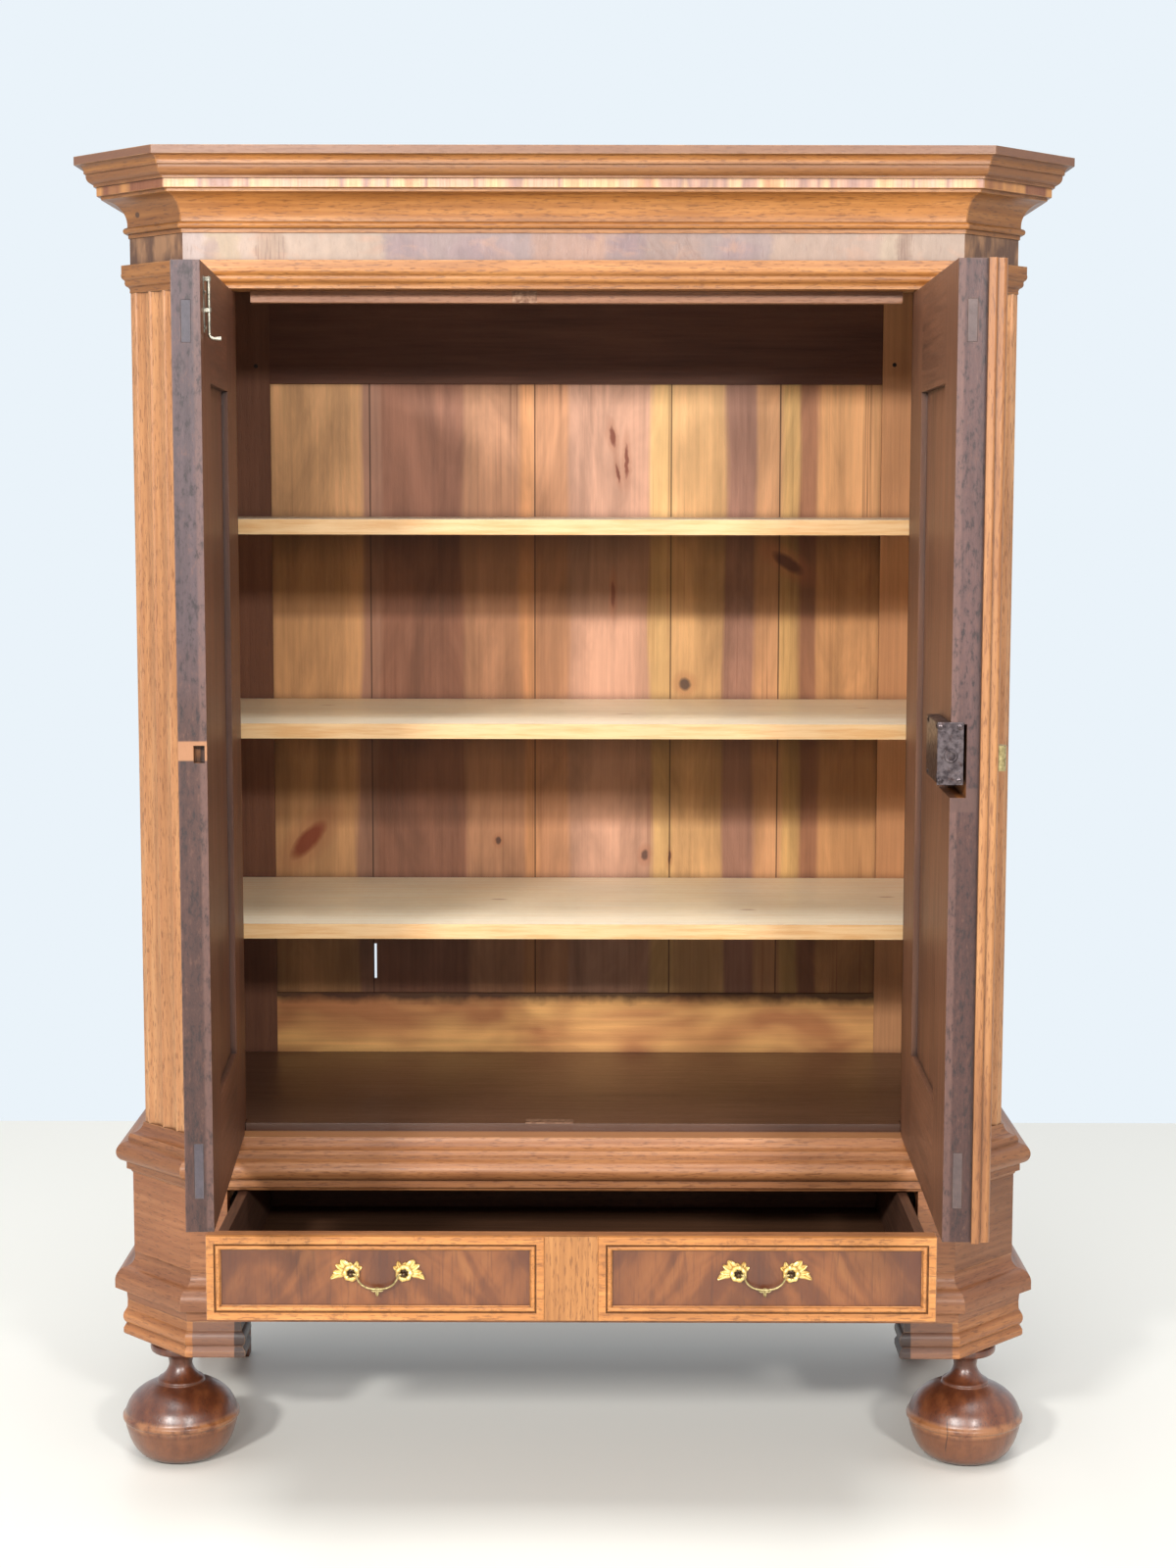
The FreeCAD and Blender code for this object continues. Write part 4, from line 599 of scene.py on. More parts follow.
def makeDoors():
    for side in ("left", "right"):
        base = {**oakLook, **doorLook, "paint": doorPaint(side)}
        up = {**base, "grain": f"{side} up"}
        wood(f"{side}DoorStile", f"{side}_door_stiles", up, move=(6, len(side), 1))
        wood(f"{side}DoorPanel", f"{side}_door_panel", up, move=(1, 9, 4), rings=14, warp=8)
        wood(f"{side}DoorRail", f"{side}_door_rails", base, grain=f"{side} along", move=(3, 4, len(side)),
             paint=doorPaint(side, True))


makeOaks()
makeDoors()

footLook = {
    "grain": "z", "tones": "441e10 5e301a 7c4628", "pore": "341a10",
    "coat": 0.42, "rough": 0.32, "gloss": 0.55, "wear": 0.75, "wearSize": 0.006, "wornTone": "aa6c44",
    "rings": 12, "warp": 6, "figure": 0.3, "grime": 0.6,
}
footWear = {
    "ridge": (0.0555, 0.0735), "ridgeTone": lit("d8925e"), "lower": (0.056, 0.05),
    "lowerTone": lit("ae6c42"), "crack": (0.5655, 0.5668), "crackLevels": (0.03, 0.085),
    "crackTone": "1c100c",
}


def footPaint(tone, place):
    # a worn pale ridge, worn lower ball, and a drying crack on the right foot
    look = footWear
    x, _, z = axes()
    patchy = noise(38, 4, 0.66)
    ridge = times(between(z, *look["ridge"], 0.003), span(patchy, 0.36, 0.56))
    tone = mix((ridge, 0.8), tone, look["ridgeTone"])
    worn = span(patchy, 0.34, 0.68, 0.3, 0.85)
    tone = mix((span(z, *look["lower"]), worn), tone, look["lowerTone"])
    wander = added(x, noise(40, over=joined(z, 0, 0)), 0.006)
    crack = times(between(wander, *look["crack"]), between(z, *look["crackLevels"], 0.008))
    return mix((crack, 0.9), tone, look["crackTone"])


footWood = wood("footWood", "front_feet", footLook, paint=footPaint)
rearWood = wood("footBlock", "rear_feet", footLook, coat=0, rough=0.55, wear=0.2)

boardLook = {
    "low": -0.505, "high": 0.505, "joints": (-0.341, -0.068, 0.158, 0.338), "light": 0.64,
    "sootLow": 0.6, "sootHigh": 1.7, "inner": (0.5425, 0.5435),
    "soot": [
        (0.6, 0.48), (0.73, 0.4), (0.74, 0.75), (0.905, 0.75), (0.928, 0.46), (1.02, 0.38), (1.06, 0.22),
        (1.07, 0.76), (1.255, 0.76), (1.269, 0.44), (1.35, 0.36), (1.395, 0.2), (1.405, 0.93), (1.7, 0.93)],
    "streaks": [
        (-0.505, "c4966a"), (-0.363, "9c7460"), (-0.331, "926652"), (-0.186, "b28466"),
        (-0.089, "ca9266"), (-0.065, "bc8a68"), (-0.015, "b88e78"), (0.123, "daa672"),
        (0.16, "d6a272"), (0.244, "a47a68"), (0.292, "c4946c"), (0.337, "d6a46c"),
        (0.37, "a07054"), (0.403, "c69466")],
    "lineTone": "683a28", "haloTone": "9e5c3c", "jointTone": "342018", "jointHalf": 0.0011,
    "knots": [
        ((0.352, 1.352), (0.012, 0.034), 55, "46261c"), ((0.183, 1.15), (0.011, 0.013), 20, "483a36"),
        ((0.06, 1.56), (0.005, 0.02), 10, "783a28"), ((0.084, 1.52), (0.004, 0.032), 0, "7c3c2a"),
        ((0.07, 1.5), (0.003, 0.018), 8, "703626"), ((0.062, 1.3), (0.004, 0.026), 0, "6e3e2e"),
        ((-0.45, 0.886), (0.017, 0.046), -42, "80341e"), ((0.117, 0.862), (0.007, 0.011), 0, "543c34"),
        ((-0.13, 0.886), (0.005, 0.008), 0, "4e3832"), ((0.158, 0.858), (0.003, 0.014), 0, "603426")],
}


def backStreaks(tone, place):
    # broad heart and sap streaks of each board, painted shade by height (shelf shadows and darker lower bays)
    # on the inner face, its knots, and the joints
    look = boardLook
    x, y, z = axes()
    moved = nudged(x, noise((3, 1, 1.1), zoom=1.4), 0.05)
    moved = nudged(moved, noise((90, 1, 3)), 0.012)
    streaks = [(at, lit(streak, look["light"])) for at, streak in look["streaks"]]
    tone = bands(moved, look["low"], look["high"], streaks)
    low, high = look["sootLow"], look["sootHigh"]
    # painted shadows under the shelves and darker lower bays, on the inner face only
    soot = ramp(span(z, low, high), [
        ((level - low) / (high - low), (dark, dark ** 1.15, dark ** 1.35, 1))
        for level, dark in look["soot"]])
    tone = tinted(tone, soot, span(y, *look["inner"], 1, 0))
    cloud = noise((13, 1, 3.2), 4, 0.6, 0.8, move=(2, 0, 5))
    tone = dimmed(tone, span(cloud, 0.34, 0.66, 0.72, 1.14))
    tone = shaded(tone, place, (4, 2, 6), 0.84, 1.1)
    lines = span(noise((150, 1, 1.6), 3), 0.58, 0.7, 0, 0.5)
    patches = span(noise((7, 1, 2)), 0.45, 0.6)
    tone = mix((lines, patches), tone, look["lineTone"])
    knotX = nudged(x, noise((60, 1, 60), 3), 0.008)
    for at, reach, lean, dark in look["knots"]:
        halo = spot(knotX, z, at, (reach[0] * 2.2, reach[1] * 2), 0, lean)
        tone = mix((halo, 0.4), tone, look["haloTone"])
        tone = mix((spot(knotX, z, at, reach, 0.3, lean), 0.85), tone, dark)
    for at in look["joints"]:
        joint = between(x, at - look["jointHalf"], at + look["jointHalf"], 0.0006)
        tone = mix((joint, 0.8), tone, look["jointTone"])
    return tone


backLook = {
    "railTones": (lit("aa7046", 0.85), lit("e8b06c", 0.85)), "railSplit": (1, 1.001),
    "railEdge": (0.618, 0.634), "railEdgeTone": "3a221a", "postTone": lit("cc9264", 1.1),
    "nails": ((-0.5275, 1.674), (0.5243, 1.6775)), "nailSize": (0.004, 0.004), "nailTone": "221816",
}


def railTones(tone, place):
    # the upper rail is dark, the lower one pale with a dark top edge
    look = backLook
    z = axes()[2]
    flames = noise((5, 1, 13), 2, 0.5, 0.4)
    low = mix(span(flames, 0.36, 0.66), *look["railTones"])
    low = shaded(low, place, (2, 2, 2), 0.8, 1.1)
    ragged = added(z, noise((30, 1, 30), 3), 0.024)
    low = mix(span(ragged, *look["railEdge"], 0, 0.88), low, look["railEdgeTone"])
    return mix(span(z, *look["railSplit"]), low, tone)


def postDots(tone, place):
    # the right post is paler; a nail in each
    x, _, z = axes()
    tone = mix(span(x, -0.1, 0.1), tone, shaded(backLook["postTone"], place))
    for at in backLook["nails"]:
        tone = mix(spot(x, z, at, backLook["nailSize"]), tone, backLook["nailTone"])
    return tone


def cleatTones(tone, place):
    # plainer wood, with livelier fibres
    return shaded(tone, place, (1, 1, 1), 0.8, 1.05)


softLook = {
    "grain": "x", "tones": "6c4228 ce965c", "pore": "54321e", "coat": 0, "rough": 0.58,
    "wear": 0.1, "pores": 0.2, "gloss": 0.3, "grime": 0.5,
}


def makeSoftwoods():
    wood("backBoards", "back_boards", softLook, grain="z", paint=backStreaks, wear=0)
    wood("rearPosts", "rear_posts", softLook, grain="z", tones="563424 7c5038", paint=postDots)
    wood("backRails", "back_rails", softLook, tones="482a1e 704632", paint=railTones)
    wood("baseBack", "base_back", softLook, tones="583622 9c6e46")
    wood("floorWood", "floor_boards", softLook, tones="422a1d 684734", gloss=0.5, rough=0.36, coat=0.3)
    wood("darkPine", "floor_bearers drawer_bottom top_boards", softLook, tones="422a1c 6e4a32")
    wood("runnerWood", "drawer_runners shelf_cleats", softLook, grain="y", tones="462c1e 785236",
         paint=cleatTones)
    wood("blockWood", "corner_blocks", softLook, grain="z", tones="38241a 604230")


makeSoftwoods()

# painted highlight: the pine's tones are much paler than the wood's own, standing for the light on the shelf
# tops
pineLook = {
    "grain": "x", "tones": "f6e1c0 fbeed3 fef6e2", "pore": "d6b084",
    "coat": 0.3, "wear": 0.15, "pores": 0.2, "gloss": 0.35, "warp": 7, "rings": 11, "figure": 0.3,
    "wornTone": "fae8c6", "grime": 0.1,
}
shelfLooks = {
    "shelf_upper": {"move": (0, 0, 0), "knots": [(-0.31, 0.2), (0.34, 0.42)]},
    "shelf_middle": {"move": (3.1, 1.7, 0), "knots": [(0.08, 0.24), (0.46, 0.36), (-0.4, 0.4)]},
    "shelf_lower": {"move": (6.2, 3.4, 0), "knots": [(-0.12, 0.3), (0.27, 0.2), (0.5, 0.33)]},
}
shelfSkin = {
    "front": (0.0605, 0.0622), "frontTones": (lit("fcd098", 1.42), lit("f0b878", 1.42)),
    "knotSize": (0.016, 0.008), "knotTone": "96603a",
}


def shelfPaint(knots):
    # a few knots on the board, and a warmer front edge
    def paint(tone, place):
        x, y, _ = axes()
        for at in knots:
            knot = spot(x, y, at, shelfSkin["knotSize"], 0)
            tone = mix((knot, 0.6), tone, shelfSkin["knotTone"])
        flecks = noise((10, 160, 160), 3, 0.6, over=place)
        edge = mix(span(flecks, 0.42, 0.66), *shelfSkin["frontTones"])
        return mix(span(y, *shelfSkin["front"], 1, 0), tone, edge)
    return paint


def makeShelves():
    for name, look in shelfLooks.items():
        wood(f"pine_{name}", name, pineLook, move=look["move"], paint=shelfPaint(look["knots"]))


makeShelves()

friezeLook = {
    "half": 0.566, "light": 2.36,
    "patches": [
        (-0.566, "f2d4c8"), (-0.528, "f0ceaa"), (-0.478, "f2d0b8"), (-0.452, "e2b898"),
        (-0.4144, "f1ceb4"), (-0.27, "ccaca6"), (-0.06, "e0b09a"), (0.045, "c6a49e"),
        (0.105, "d0ac9e"), (0.185, "d0b2aa"), (0.284, "e8c3ac"), (0.44, "f0d0b2"),
        (0.465, "c49c82"), (0.48, "e4c2aa")],
    "stains": [
        ((-0.52, 1.812), (0.014, 0.018)), ((-0.24, 1.815), (0.045, 0.02)), ((-0.135, 1.812), (0.055, 0.022)),
        ((0.075, 1.818), (0.035, 0.018)), ((0.235, 1.812), (0.04, 0.02)), ((0.02, 1.828), (0.02, 0.006))],
    "stainTone": lit("a48086"), "cloudTone": lit("e8b08e"), "markTone": "704e42",
    "stripes": ((-0.452, -0.4144), (0.462, 0.486)), "stripeTone": "68483a",
    "diagonal": (0.105, 0.185), "diagonalTone": "7c584a",
    "cantTones": (lit("7c543a"), lit("c49066")),
}


def friezePaint(tone, place):
    # veneer sheets of several trees that run into each other, with stains and fine dark marks
    look = friezeLook
    x, _, z = axes()
    wander = noise((30, 1, 40), 3, 0.6)
    moved, upMoved = nudged(x, wander, 0.03), nudged(z, wander, 0.03)
    sheets = [(at, lit(sheet, look["light"])) for at, sheet in look["patches"]]
    face = bands(moved, -look["half"], look["half"], sheets, 0.005)
    for at, reach in look["stains"]:
        face = mix((spot(moved, upMoved, at, reach, 0.1), 0.5), face, look["stainTone"])
    cloud = noise((16, 1, 26), 4, 0.6, 0.6, move=(4, 0, 1))
    face = mix(span(cloud, 0.52, 0.68, 0, 0.5), face, look["cloudTone"])
    face = dimmed(face, span(noise((60, 1, 30), 4, 0.62), 0.34, 0.66, 0.88, 1.08))
    stripes = noise(1, over=joined(times(x, 420), times(z, 18), 0))
    first, second = (between(moved, *limits) for limits in look["stripes"])
    stripeMask = plus(first, second)
    face = mix((span(stripes, 0.5, 0.64), stripeMask, 0.45), face, look["stripeTone"])
    slant = plus(times(moved, 190), times(z, 150))
    diagonal = noise(1, over=joined(slant, times(z, 9), 0))
    mask = between(moved, *look["diagonal"], 0.01)
    face = mix((span(diagonal, 0.52, 0.68), mask, 0.32), face, look["diagonalTone"])
    marks = noise((260, 1, 30), 3, 0.6, move=(1, 0, 7))
    face = mix(span(marks, 0.64, 0.7, 0, 0.4), face, look["markTone"])
    cant = mix(span(noise((40, 40, 14), 3, 0.6), 0.4, 0.6), *look["cantTones"])
    cant = shaded(cant, place, (2, 5, 1))
    return mix(cantMask(cantLook["friezeStart"]), face, cant)


fieldLook = {
    "middle": 0.264, "endTone": lit("6e3c28", 2), "lineTone": lit("683c2a", 2),
    "flames": [
        (0, lit("86482a", 2.12)), (0.4, lit("96552d", 2.12)), (0.65, lit("b66c39", 2.12)),
        (1, lit("cb8046", 2.12))],
}


def fieldPaint(tone, place):
    # walnut with soft pale flames, darker near the ends and along the top
    look = fieldLook
    x, _, z = axes()
    side = absolute(minus(absolute(x), look["middle"]))
    warm = noise((11, 1, 7), 3, 0.6, 0.8)
    lean = joined(plus(side, times(z, 0.55)), 0, z)
    flame = noise((17, 1, 6), 3, 0.55, 0.7, over=lean, move=(3, 0, 2))
    tone = ramp(span(added(times(flame, 0.55), warm, 0.45), 0.34, 0.66), look["flames"])
    ends = span(side, 0.15, 0.225, 0, 0.45)
    heart = times(span(side, 0.03, 0), span(z, 0.35, 0.375), 0.6)
    tone = mix(calc("MAXIMUM", ends, heart), tone, look["endTone"])
    fine = span(noise((260, 1, 16), 3, 0.6), 0.52, 0.68, 0, 0.4)
    return mix(fine, tone, look["lineTone"])


veneerLook = {
    "grain": "z", "tones": "582e1a aa683e", "pore": "3e2014", "coat": 0.25, "rough": 0.34,
    "rings": 7, "warp": 9, "figure": 0.6, "drift": 0.5, "wear": 0.1, "grime": 0.5, "grimeReach": 0.006,
}
wood("walnutField", "drawer_fields", veneerLook, paint=fieldPaint)
wood("walnutFrieze", "frieze", veneerLook, paint=friezePaint, coat=0.12, rough=0.42)

# what a metal has unless its own look says otherwise
metalBase = {
    "cloud": 60, "rust": 0, "rustTone": "603826", "reach": 0.004, "grime": 0.6, "grimeTone": "281c16",
    "dull": (), "dullSize": (0.0052, 0.0052), "dullTone": "4a3624", "grit": 300, "relief": 0.15,
    "reliefDepth": 0.0004, "metal": 1,
}
metalLooks = {
    "iron": {"tones": "3a3230 70625e", "rough": 0.42, "rust": 0.6, "metal": 0.85},
    "lock": {
        "tones": "30292b 706465", "rough": 0.32, "rust": 0.35, "metal": 0.85, "cloud": 120,
        "rustTone": "5c3c2e"},
    "steel": {"tones": "7c786c bab4a4", "rough": 0.36, "rust": 0.3},
    "brass": {
        "tones": "d6ac60 fae296", "rough": 0.3, "cloud": 90, "grime": 0.8, "metal": 0.6,
        "grimeTone": "684222", "relief": 0.2,
        "dull": [(-0.308, 0.381), (-0.234, 0.381), (0.234, 0.381), (0.308, 0.381)]},
    "wire": {"tones": "807048 bcaa78", "rough": 0.34, "cloud": 200, "grime": 0.4, "metal": 0.7},
    "strike": {"tones": "684632 96745c", "rough": 0.5, "rust": 0.4, "metal": 0.4, "cloud": 150},
}
metalPieces = {
    "strike": "strike_plates", "iron": "jamb_hinges left_door_hinges right_door_hinges",
    "lock": "lock_case lock_bolt", "steel": "bolt_plate bolt_rod", "brass": "rosettes bail_left bail_right",
    "wire": "escutcheon",
}


def makeMetal(name, look):
    # clouded metal with tarnish in its corners and, on iron, rust
    look = {**metalBase, **look}
    startNodes(bpy.data.materials.new(name))
    cloud = noise(look["cloud"], 4, 0.6)
    tone = mix(span(cloud, 0.35, 0.65), *look["tones"].split())
    tone = mix(span(noise(140, 3, 0.7), 0.55, 0.72, 0, look["rust"]), tone, look["rustTone"])
    tone = mix((grimeIn(look["reach"]), look["grime"]), tone, look["grimeTone"])
    x, _, z = axes()
    for at in look["dull"]:
        tone = mix(spot(x, z, at, look["dullSize"], 0.7), tone, look["dullTone"])
    rough = span(cloud, 0.3, 0.7, look["rough"] + 0.12, look["rough"] - 0.05)
    relief = bump(noise(look["grit"], 3, 0.6), look["relief"], look["reliefDepth"])
    return finish(tone, rough, relief, Metallic=look["metal"])


metals = {name: makeMetal(f"{name}Tone", look) for name, look in metalLooks.items()}
for name, pieces in metalPieces.items():
    dress(metals[name], pieces)
print("stage: materials made")


def addPiece(name, work, material, body, crease):
    # a finished piece from its bmesh, shaded smooth except at sharp edges
    bmesh.ops.remove_doubles(work, verts=work.verts, dist=0.000002)
    bmesh.ops.recalc_face_normals(work, faces=work.faces)
    mesh = bpy.data.meshes.new(name)
    work.to_mesh(mesh)
    work.free()
    for face in mesh.polygons:
        face.use_smooth = True
    mesh.set_sharp_from_angle(angle=math.radians(crease))
    mesh.materials.append(material)
    piece = bpy.data.objects.new(name, mesh)
    bpy.context.collection.objects.link(piece)
    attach(piece, body)
    return piece


def around(count):
    # cosine and sine of even steps round a circle
    turns = [math.tau * step / count for step in range(count)]
    return [(math.cos(turn), math.sin(turn)) for turn in turns]


def smoothPath(points, steps):
    # a curve through the points, as a denser row of them
    points = [Vector((*point, 0)) for point in points]
    ends = [points[0], *points, points[-1]]
    out = []
    for index in range(1, len(ends) - 2):
        before, start, end, after = ends[index - 1:index + 3]
        for step in range(steps):
            t = step / steps
            second = 2 * before - 5 * start + 4 * end - after
            third = 3 * start - before - 3 * end + after
            out.append(0.5 * (2 * start + (end - before) * t + second * t * t + third * t * t * t))
    out.append(points[-1])
    return out


def pathAcross(path):
    # each point of a flat path with the direction across it
    last = len(path) - 1
    for index, point in enumerate(path):
        way = path[min(index + 1, last)] - path[max(index - 1, 0)]
        yield point, Vector((-way.y, way.x, 0)).normalized()


def skin(work, rings):
    # faces between neighbouring rings of points, with lids at both ends
    rows = [[work.verts.new(point) for point in ring] for ring in rings]
    for low, high in zip(rows, rows[1:]):
        for index in range(len(low)):
            after = (index + 1) % len(low)
            work.faces.new((low[index], low[after], high[after], high[index]))
    work.faces.new(rows[0][::-1])
    work.faces.new(rows[-1])


def turned(work, profile, sides, at):
    # a round body from the radius and the level of each ring
    skin(work, [[
        at(radius * cosine, radius * sine, level) for cosine, sine in around(sides)]
        for radius, level in profile])


def tube(work, path, radii, sides, at):
    # a round rod along a flat path; at takes a point and how far it lies out of the path's plane
    skin(work, [[
        at(point + across * radius * cosine, radius * sine) for cosine, sine in around(sides)]
        for (point, across), radius in zip(pathAcross(path), radii)])


footShape = {
    "centres": (-0.6, 0.6), "depth": 0.064, "top": 0.1845, "sides": 72, "steps": 3,
    "profile": [
        (22, 0), (54, 4), (68, 15), (77.5, 31), (83.5, 50), (84.8, 57), (85.2, 60), (88.2, 63), (88.4, 65.5),
        (88.2, 68), (85.4, 71.5), (83, 78), (77, 90), (66, 101.5), (52, 110), (40, 114.5), (35.6, 116.2),
        (35.4, 118.5), (34.8, 121), (30, 124), (23, 131), (18, 141), (17.8, 147), (20, 156), (24.5, 161.5),
        (36, 163.5), (43, 166.5), (44.9, 170), (44.9, 175), (42, 178.5), (34, 180.5), (26, 184.5),
        (20, 184.5)],
}


def makeFeet(shape):
    work = bmesh.new()
    profile = [(radius / 1000, level / 1000) for radius, level in shape["profile"]]
    profile = smoothPath(profile, shape["steps"])
    profile = [(radius, min(max(level, 0), shape["top"])) for radius, level, _ in profile]
    for middle in shape["centres"]:
        turned(work, profile, shape["sides"], lambda x, y, level: (middle + x, shape["depth"] + y, level))
    piece = addPiece("turned_feet", work, footWood, "carcass", 60)
    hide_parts("front_feet")


makeFeet(footShape)

bladeShape = {
    "cross": ((-1, 0.25), (-0.6, 0.85), (-0.12, 0.7), (0, 1), (0.12, 0.7), (0.6, 0.85), (1, 0.25)),
    "steps": 6, "foot": 0.85,
}


def blade(work, at, path, width, height, back):
    # a tapering leaf with a raised rib along its middle
    middle = smoothPath(path, bladeShape["steps"])
    rings = []
    for index, (point, across) in enumerate(pathAcross(middle)):
        share = index / (len(middle) - 1)
        reach = width / 2 * max(math.sin(math.pi * (0.2 + 0.78 * share)), 0.08) ** 0.7
        rise = height * (0.45 + 0.55 * math.sin(math.pi * (0.1 + 0.75 * share)))
        ring = [at(point + across * reach * side, rise * up) for side, up in bladeShape["cross"]]
        foot = across * reach * bladeShape["foot"]
        rings.append([*ring, at(point + foot, back), at(point - foot, back)])
    skin(work, rings)


pullShape = {
    "centre": 0.271, "half": 0.037, "level": 0.381, "face": -0.2435, "pivot": -0.2525,
    "ring": {"radius": 8.6, "tube": 3.6, "lobes": 7, "wave": 0.6, "sides": 54, "tubeSides": 12, "lift": 2.4},
    "post": ((4.6, 0), (4.6, 0.8), (2.7, 1.4), (2.4, 9), (3.1, 10.4), (2.9, 12), (1.8, 13)), "postSides": 16,
    "leaves": [
        (((3, 5), (9, 11.5), (14.5, 18.6)), 12.5, 3.4), (((5, 3), (14, 7), (21.5, 12.2)), 10, 3.6),
        (((6, 0), (16, 1), (25.5, 1.6)), 9, 3.6), (((8, -1), (19, -2.5), (29, -8.2)), 10.5, 3.4),
        (((0, 7), (1.4, 12), (2, 15.4)), 7.4, 2.8), (((-4, 6), (-7.2, 11), (-8.4, 17)), 7.8, 2.8),
        (((-6, 3), (-11, 6.4), (-14.6, 9.4)), 7.6, 2.8)],
    "wire": {"radius": 1.45, "sides": 12, "steps": 5, "swell": 0.35, "swellReach": 7, "path": [
        (38, 0.2), (33, 0.1), (30, -0.6), (28.6, -3.5), (26.4, -9), (22, -14.5), (15, -18.8), (7, -20.8),
        (0, -21.3)]},
    "wireLeaves": [
        (((0, -18.5), (0, -25), (0, -31.2)), 6.4), (((0.4, -20), (4.6, -23), (8.6, -21.4)), 4.6),
        (((-0.4, -20), (-4.6, -23), (-8.6, -21.4)), 4.6)],
    "wireLeafRise": 2.1, "wireLeafBack": -1.3,
}


def pullPoint(shape, middle, face, hand=1):
    # millimetres across, up and outwards, from the middle of a rosette or a bail
    def at(point, out):
        return Vector((middle + hand * point[0] / 1000, face - out / 1000, shape["level"] + point[1] / 1000))
    return at


def makeRosettes(shape):
    # a scalloped ring with a post and leaves that spread outwards and up
    work = bmesh.new()
    ring = shape["ring"]
    count = ring["tubeSides"]
    for side, end in ((-1, -1), (-1, 1), (1, -1), (1, 1)):
        at = pullPoint(shape, side * shape["centre"] + end * shape["half"], shape["face"], end)
        rows = []
        for step, (cosine, sine) in enumerate(around(ring["sides"])):
            tube = ring["tube"] + ring["wave"] * math.cos(math.tau * step / ring["sides"] * ring["lobes"])
            row = []
            for outward, upward in around(count):
                reach = ring["radius"] + tube * outward
                row.append(work.verts.new(at(
                    (reach * cosine, reach * sine), max(ring["lift"] + tube * upward, 0))))
            rows.append(row)
        for index, row in enumerate(rows):
            after = rows[(index + 1) % len(rows)]
            for tick in range(count):
                beside = (tick + 1) % count
                work.faces.new((row[tick], row[beside], after[beside], after[tick]))
        turned(work, shape["post"], shape["postSides"], lambda x, y, out: at((x, y), out))
        for path, width, height in shape["leaves"]:
            blade(work, at, path, width, height, 0)
    piece = addPiece("cast_rosettes", work, metals["brass"], "drawer", 55)
    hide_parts("rosettes")


def makeBails(shape):
    # a thin wire that hangs from two pivots, with a small cast leaf at its lowest point
    wire = shape["wire"]
    half = smoothPath(wire["path"], wire["steps"])
    path = half + [Vector((-point.x, point.y, 0)) for point in half[-2::-1]]
    radii = [
        wire["radius"] * (1 + wire["swell"] * math.exp(-(point.x / wire["swellReach"]) ** 2))
        for point in path]
    for name, side in (("bail_left", -1), ("bail_right", 1)):
        work = bmesh.new()
        at = pullPoint(shape, side * shape["centre"], shape["pivot"])
        tube(work, path, radii, wire["sides"], at)
        for leafPath, width in shape["wireLeaves"]:
            blade(work, at, leafPath, width, shape["wireLeafRise"], shape["wireLeafBack"])
        piece = addPiece(f"wire_{name}", work, metals["wire"], name, 60)
        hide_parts(name)


makeRosettes(pullShape)
makeBails(pullShape)
print("stage: feet and pulls made")

screwShape = {
    "gap": 0.16, "dome": ((1, 0), (1, 0.12), (0.8, 0.3), (0.4, 0.4)), "steps": 8, "sides": 20,
    "lifts": (-0.05, 0.08),
}


def screwHead(work, centre, normal, radius, turn):
    # a low domed head with a slot
    shape = screwShape
    normal = Vector(normal).normalized()
    centre = Vector(centre)
    first = normal.cross(Vector((0, 0, 1)) if abs(normal.z) < 0.9 else Vector((1, 0, 0))).normalized()
    second = normal.cross(first)
    cosine, sine = math.cos(turn), math.sin(turn)
    along, across = first * cosine + second * sine, second * cosine - first * sine
    for hand in (-1, 1):
        rings = []
        for reach, lift in shape["dome"]:
            limit = math.acos(min(shape["gap"] / reach, 1))
            ring = []
            for step in range(shape["steps"] + 1):
                angle = -limit + 2 * limit * step / shape["steps"]
                ring.append(centre + across * hand * radius * reach * math.cos(angle)
                            + along * radius * reach * math.sin(angle) + normal * radius * lift)
            rings.append(ring)
        skin(work, rings)
    turned(work, [(radius, radius * lift) for lift in shape["lifts"]], shape["sides"],
           lambda x, y, out: centre + along * x + across * y + normal * out)


def leafWay(side, along, depth):
    # a direction on an open leaf
    angle = math.radians(leafLooks[side]["turn"])
    along = along * leafLooks[side]["hand"]
    return (along * math.cos(angle) - depth * math.sin(angle),
            along * math.sin(angle) + depth * math.cos(angle), 0)


def leafPoint(side, along, z, depth):
    # a point of an open leaf, from its distance along, height and depth
    pinX, pinY = leafLooks[side]["pin"]
    x, y, _ = leafWay(side, along, depth - pinY)
    return (pinX + x, pinY + y, z)


def onLeaf(side, order=(0, 1, 2)):
    # where distance along, height and depth stand among the values that come in
    return lambda *values: leafPoint(side, *(values[index] for index in order))


def slab(work, corners, low, high, out, soften=0):
    # a plate over an outline, with its outer rim rounded when asked
    rings = [[out(*corner, level) for corner in corners] for level in (low, high - soften)]
    if soften:
        middle = [sum(corner[axis] for corner in corners) / len(corners) for axis in (0, 1)]
        shrunk = [[
            value - math.copysign(min(soften, abs(value - centre)), value - centre)
            for value, centre in zip(corner, middle)] for corner in corners]
        rings.append([out(*corner, high) for corner in shrunk])
    skin(work, rings)


def square(start, end, low, high):
    return [(start, low), (end, low), (end, high), (start, high)]


lockShape = {
    "width": 0.132, "low": 1.1045, "high": 1.1822, "front": 0.0205, "back": 0.0525, "edge": 0.546,
    "wall": 0.0012, "rim": 0.0004, "caseRound": 0.0016, "bed": 0.0002,
    "bolt": {
        "at": (0.0358, 1.1405), "radius": 0.0084, "sides": 28,
        "rings": ((1, -0.066), (1, 0.0026), (0.86, 0.0034), (0.62, 0.0032), (0.56, 0.0016), (0.3, 0.0014))},
    "screws": [(0.0248, 1.177), (0.0252, 1.11), (0.049, 1.177), (0.049, 1.1092)], "screwSize": 0.0038,
    "caseScrews": [(0.536, 1.177), (0.537, 1.114), (0.436, 1.177), (0.436, 1.11)], "caseScrewSize": 0.0034,
}


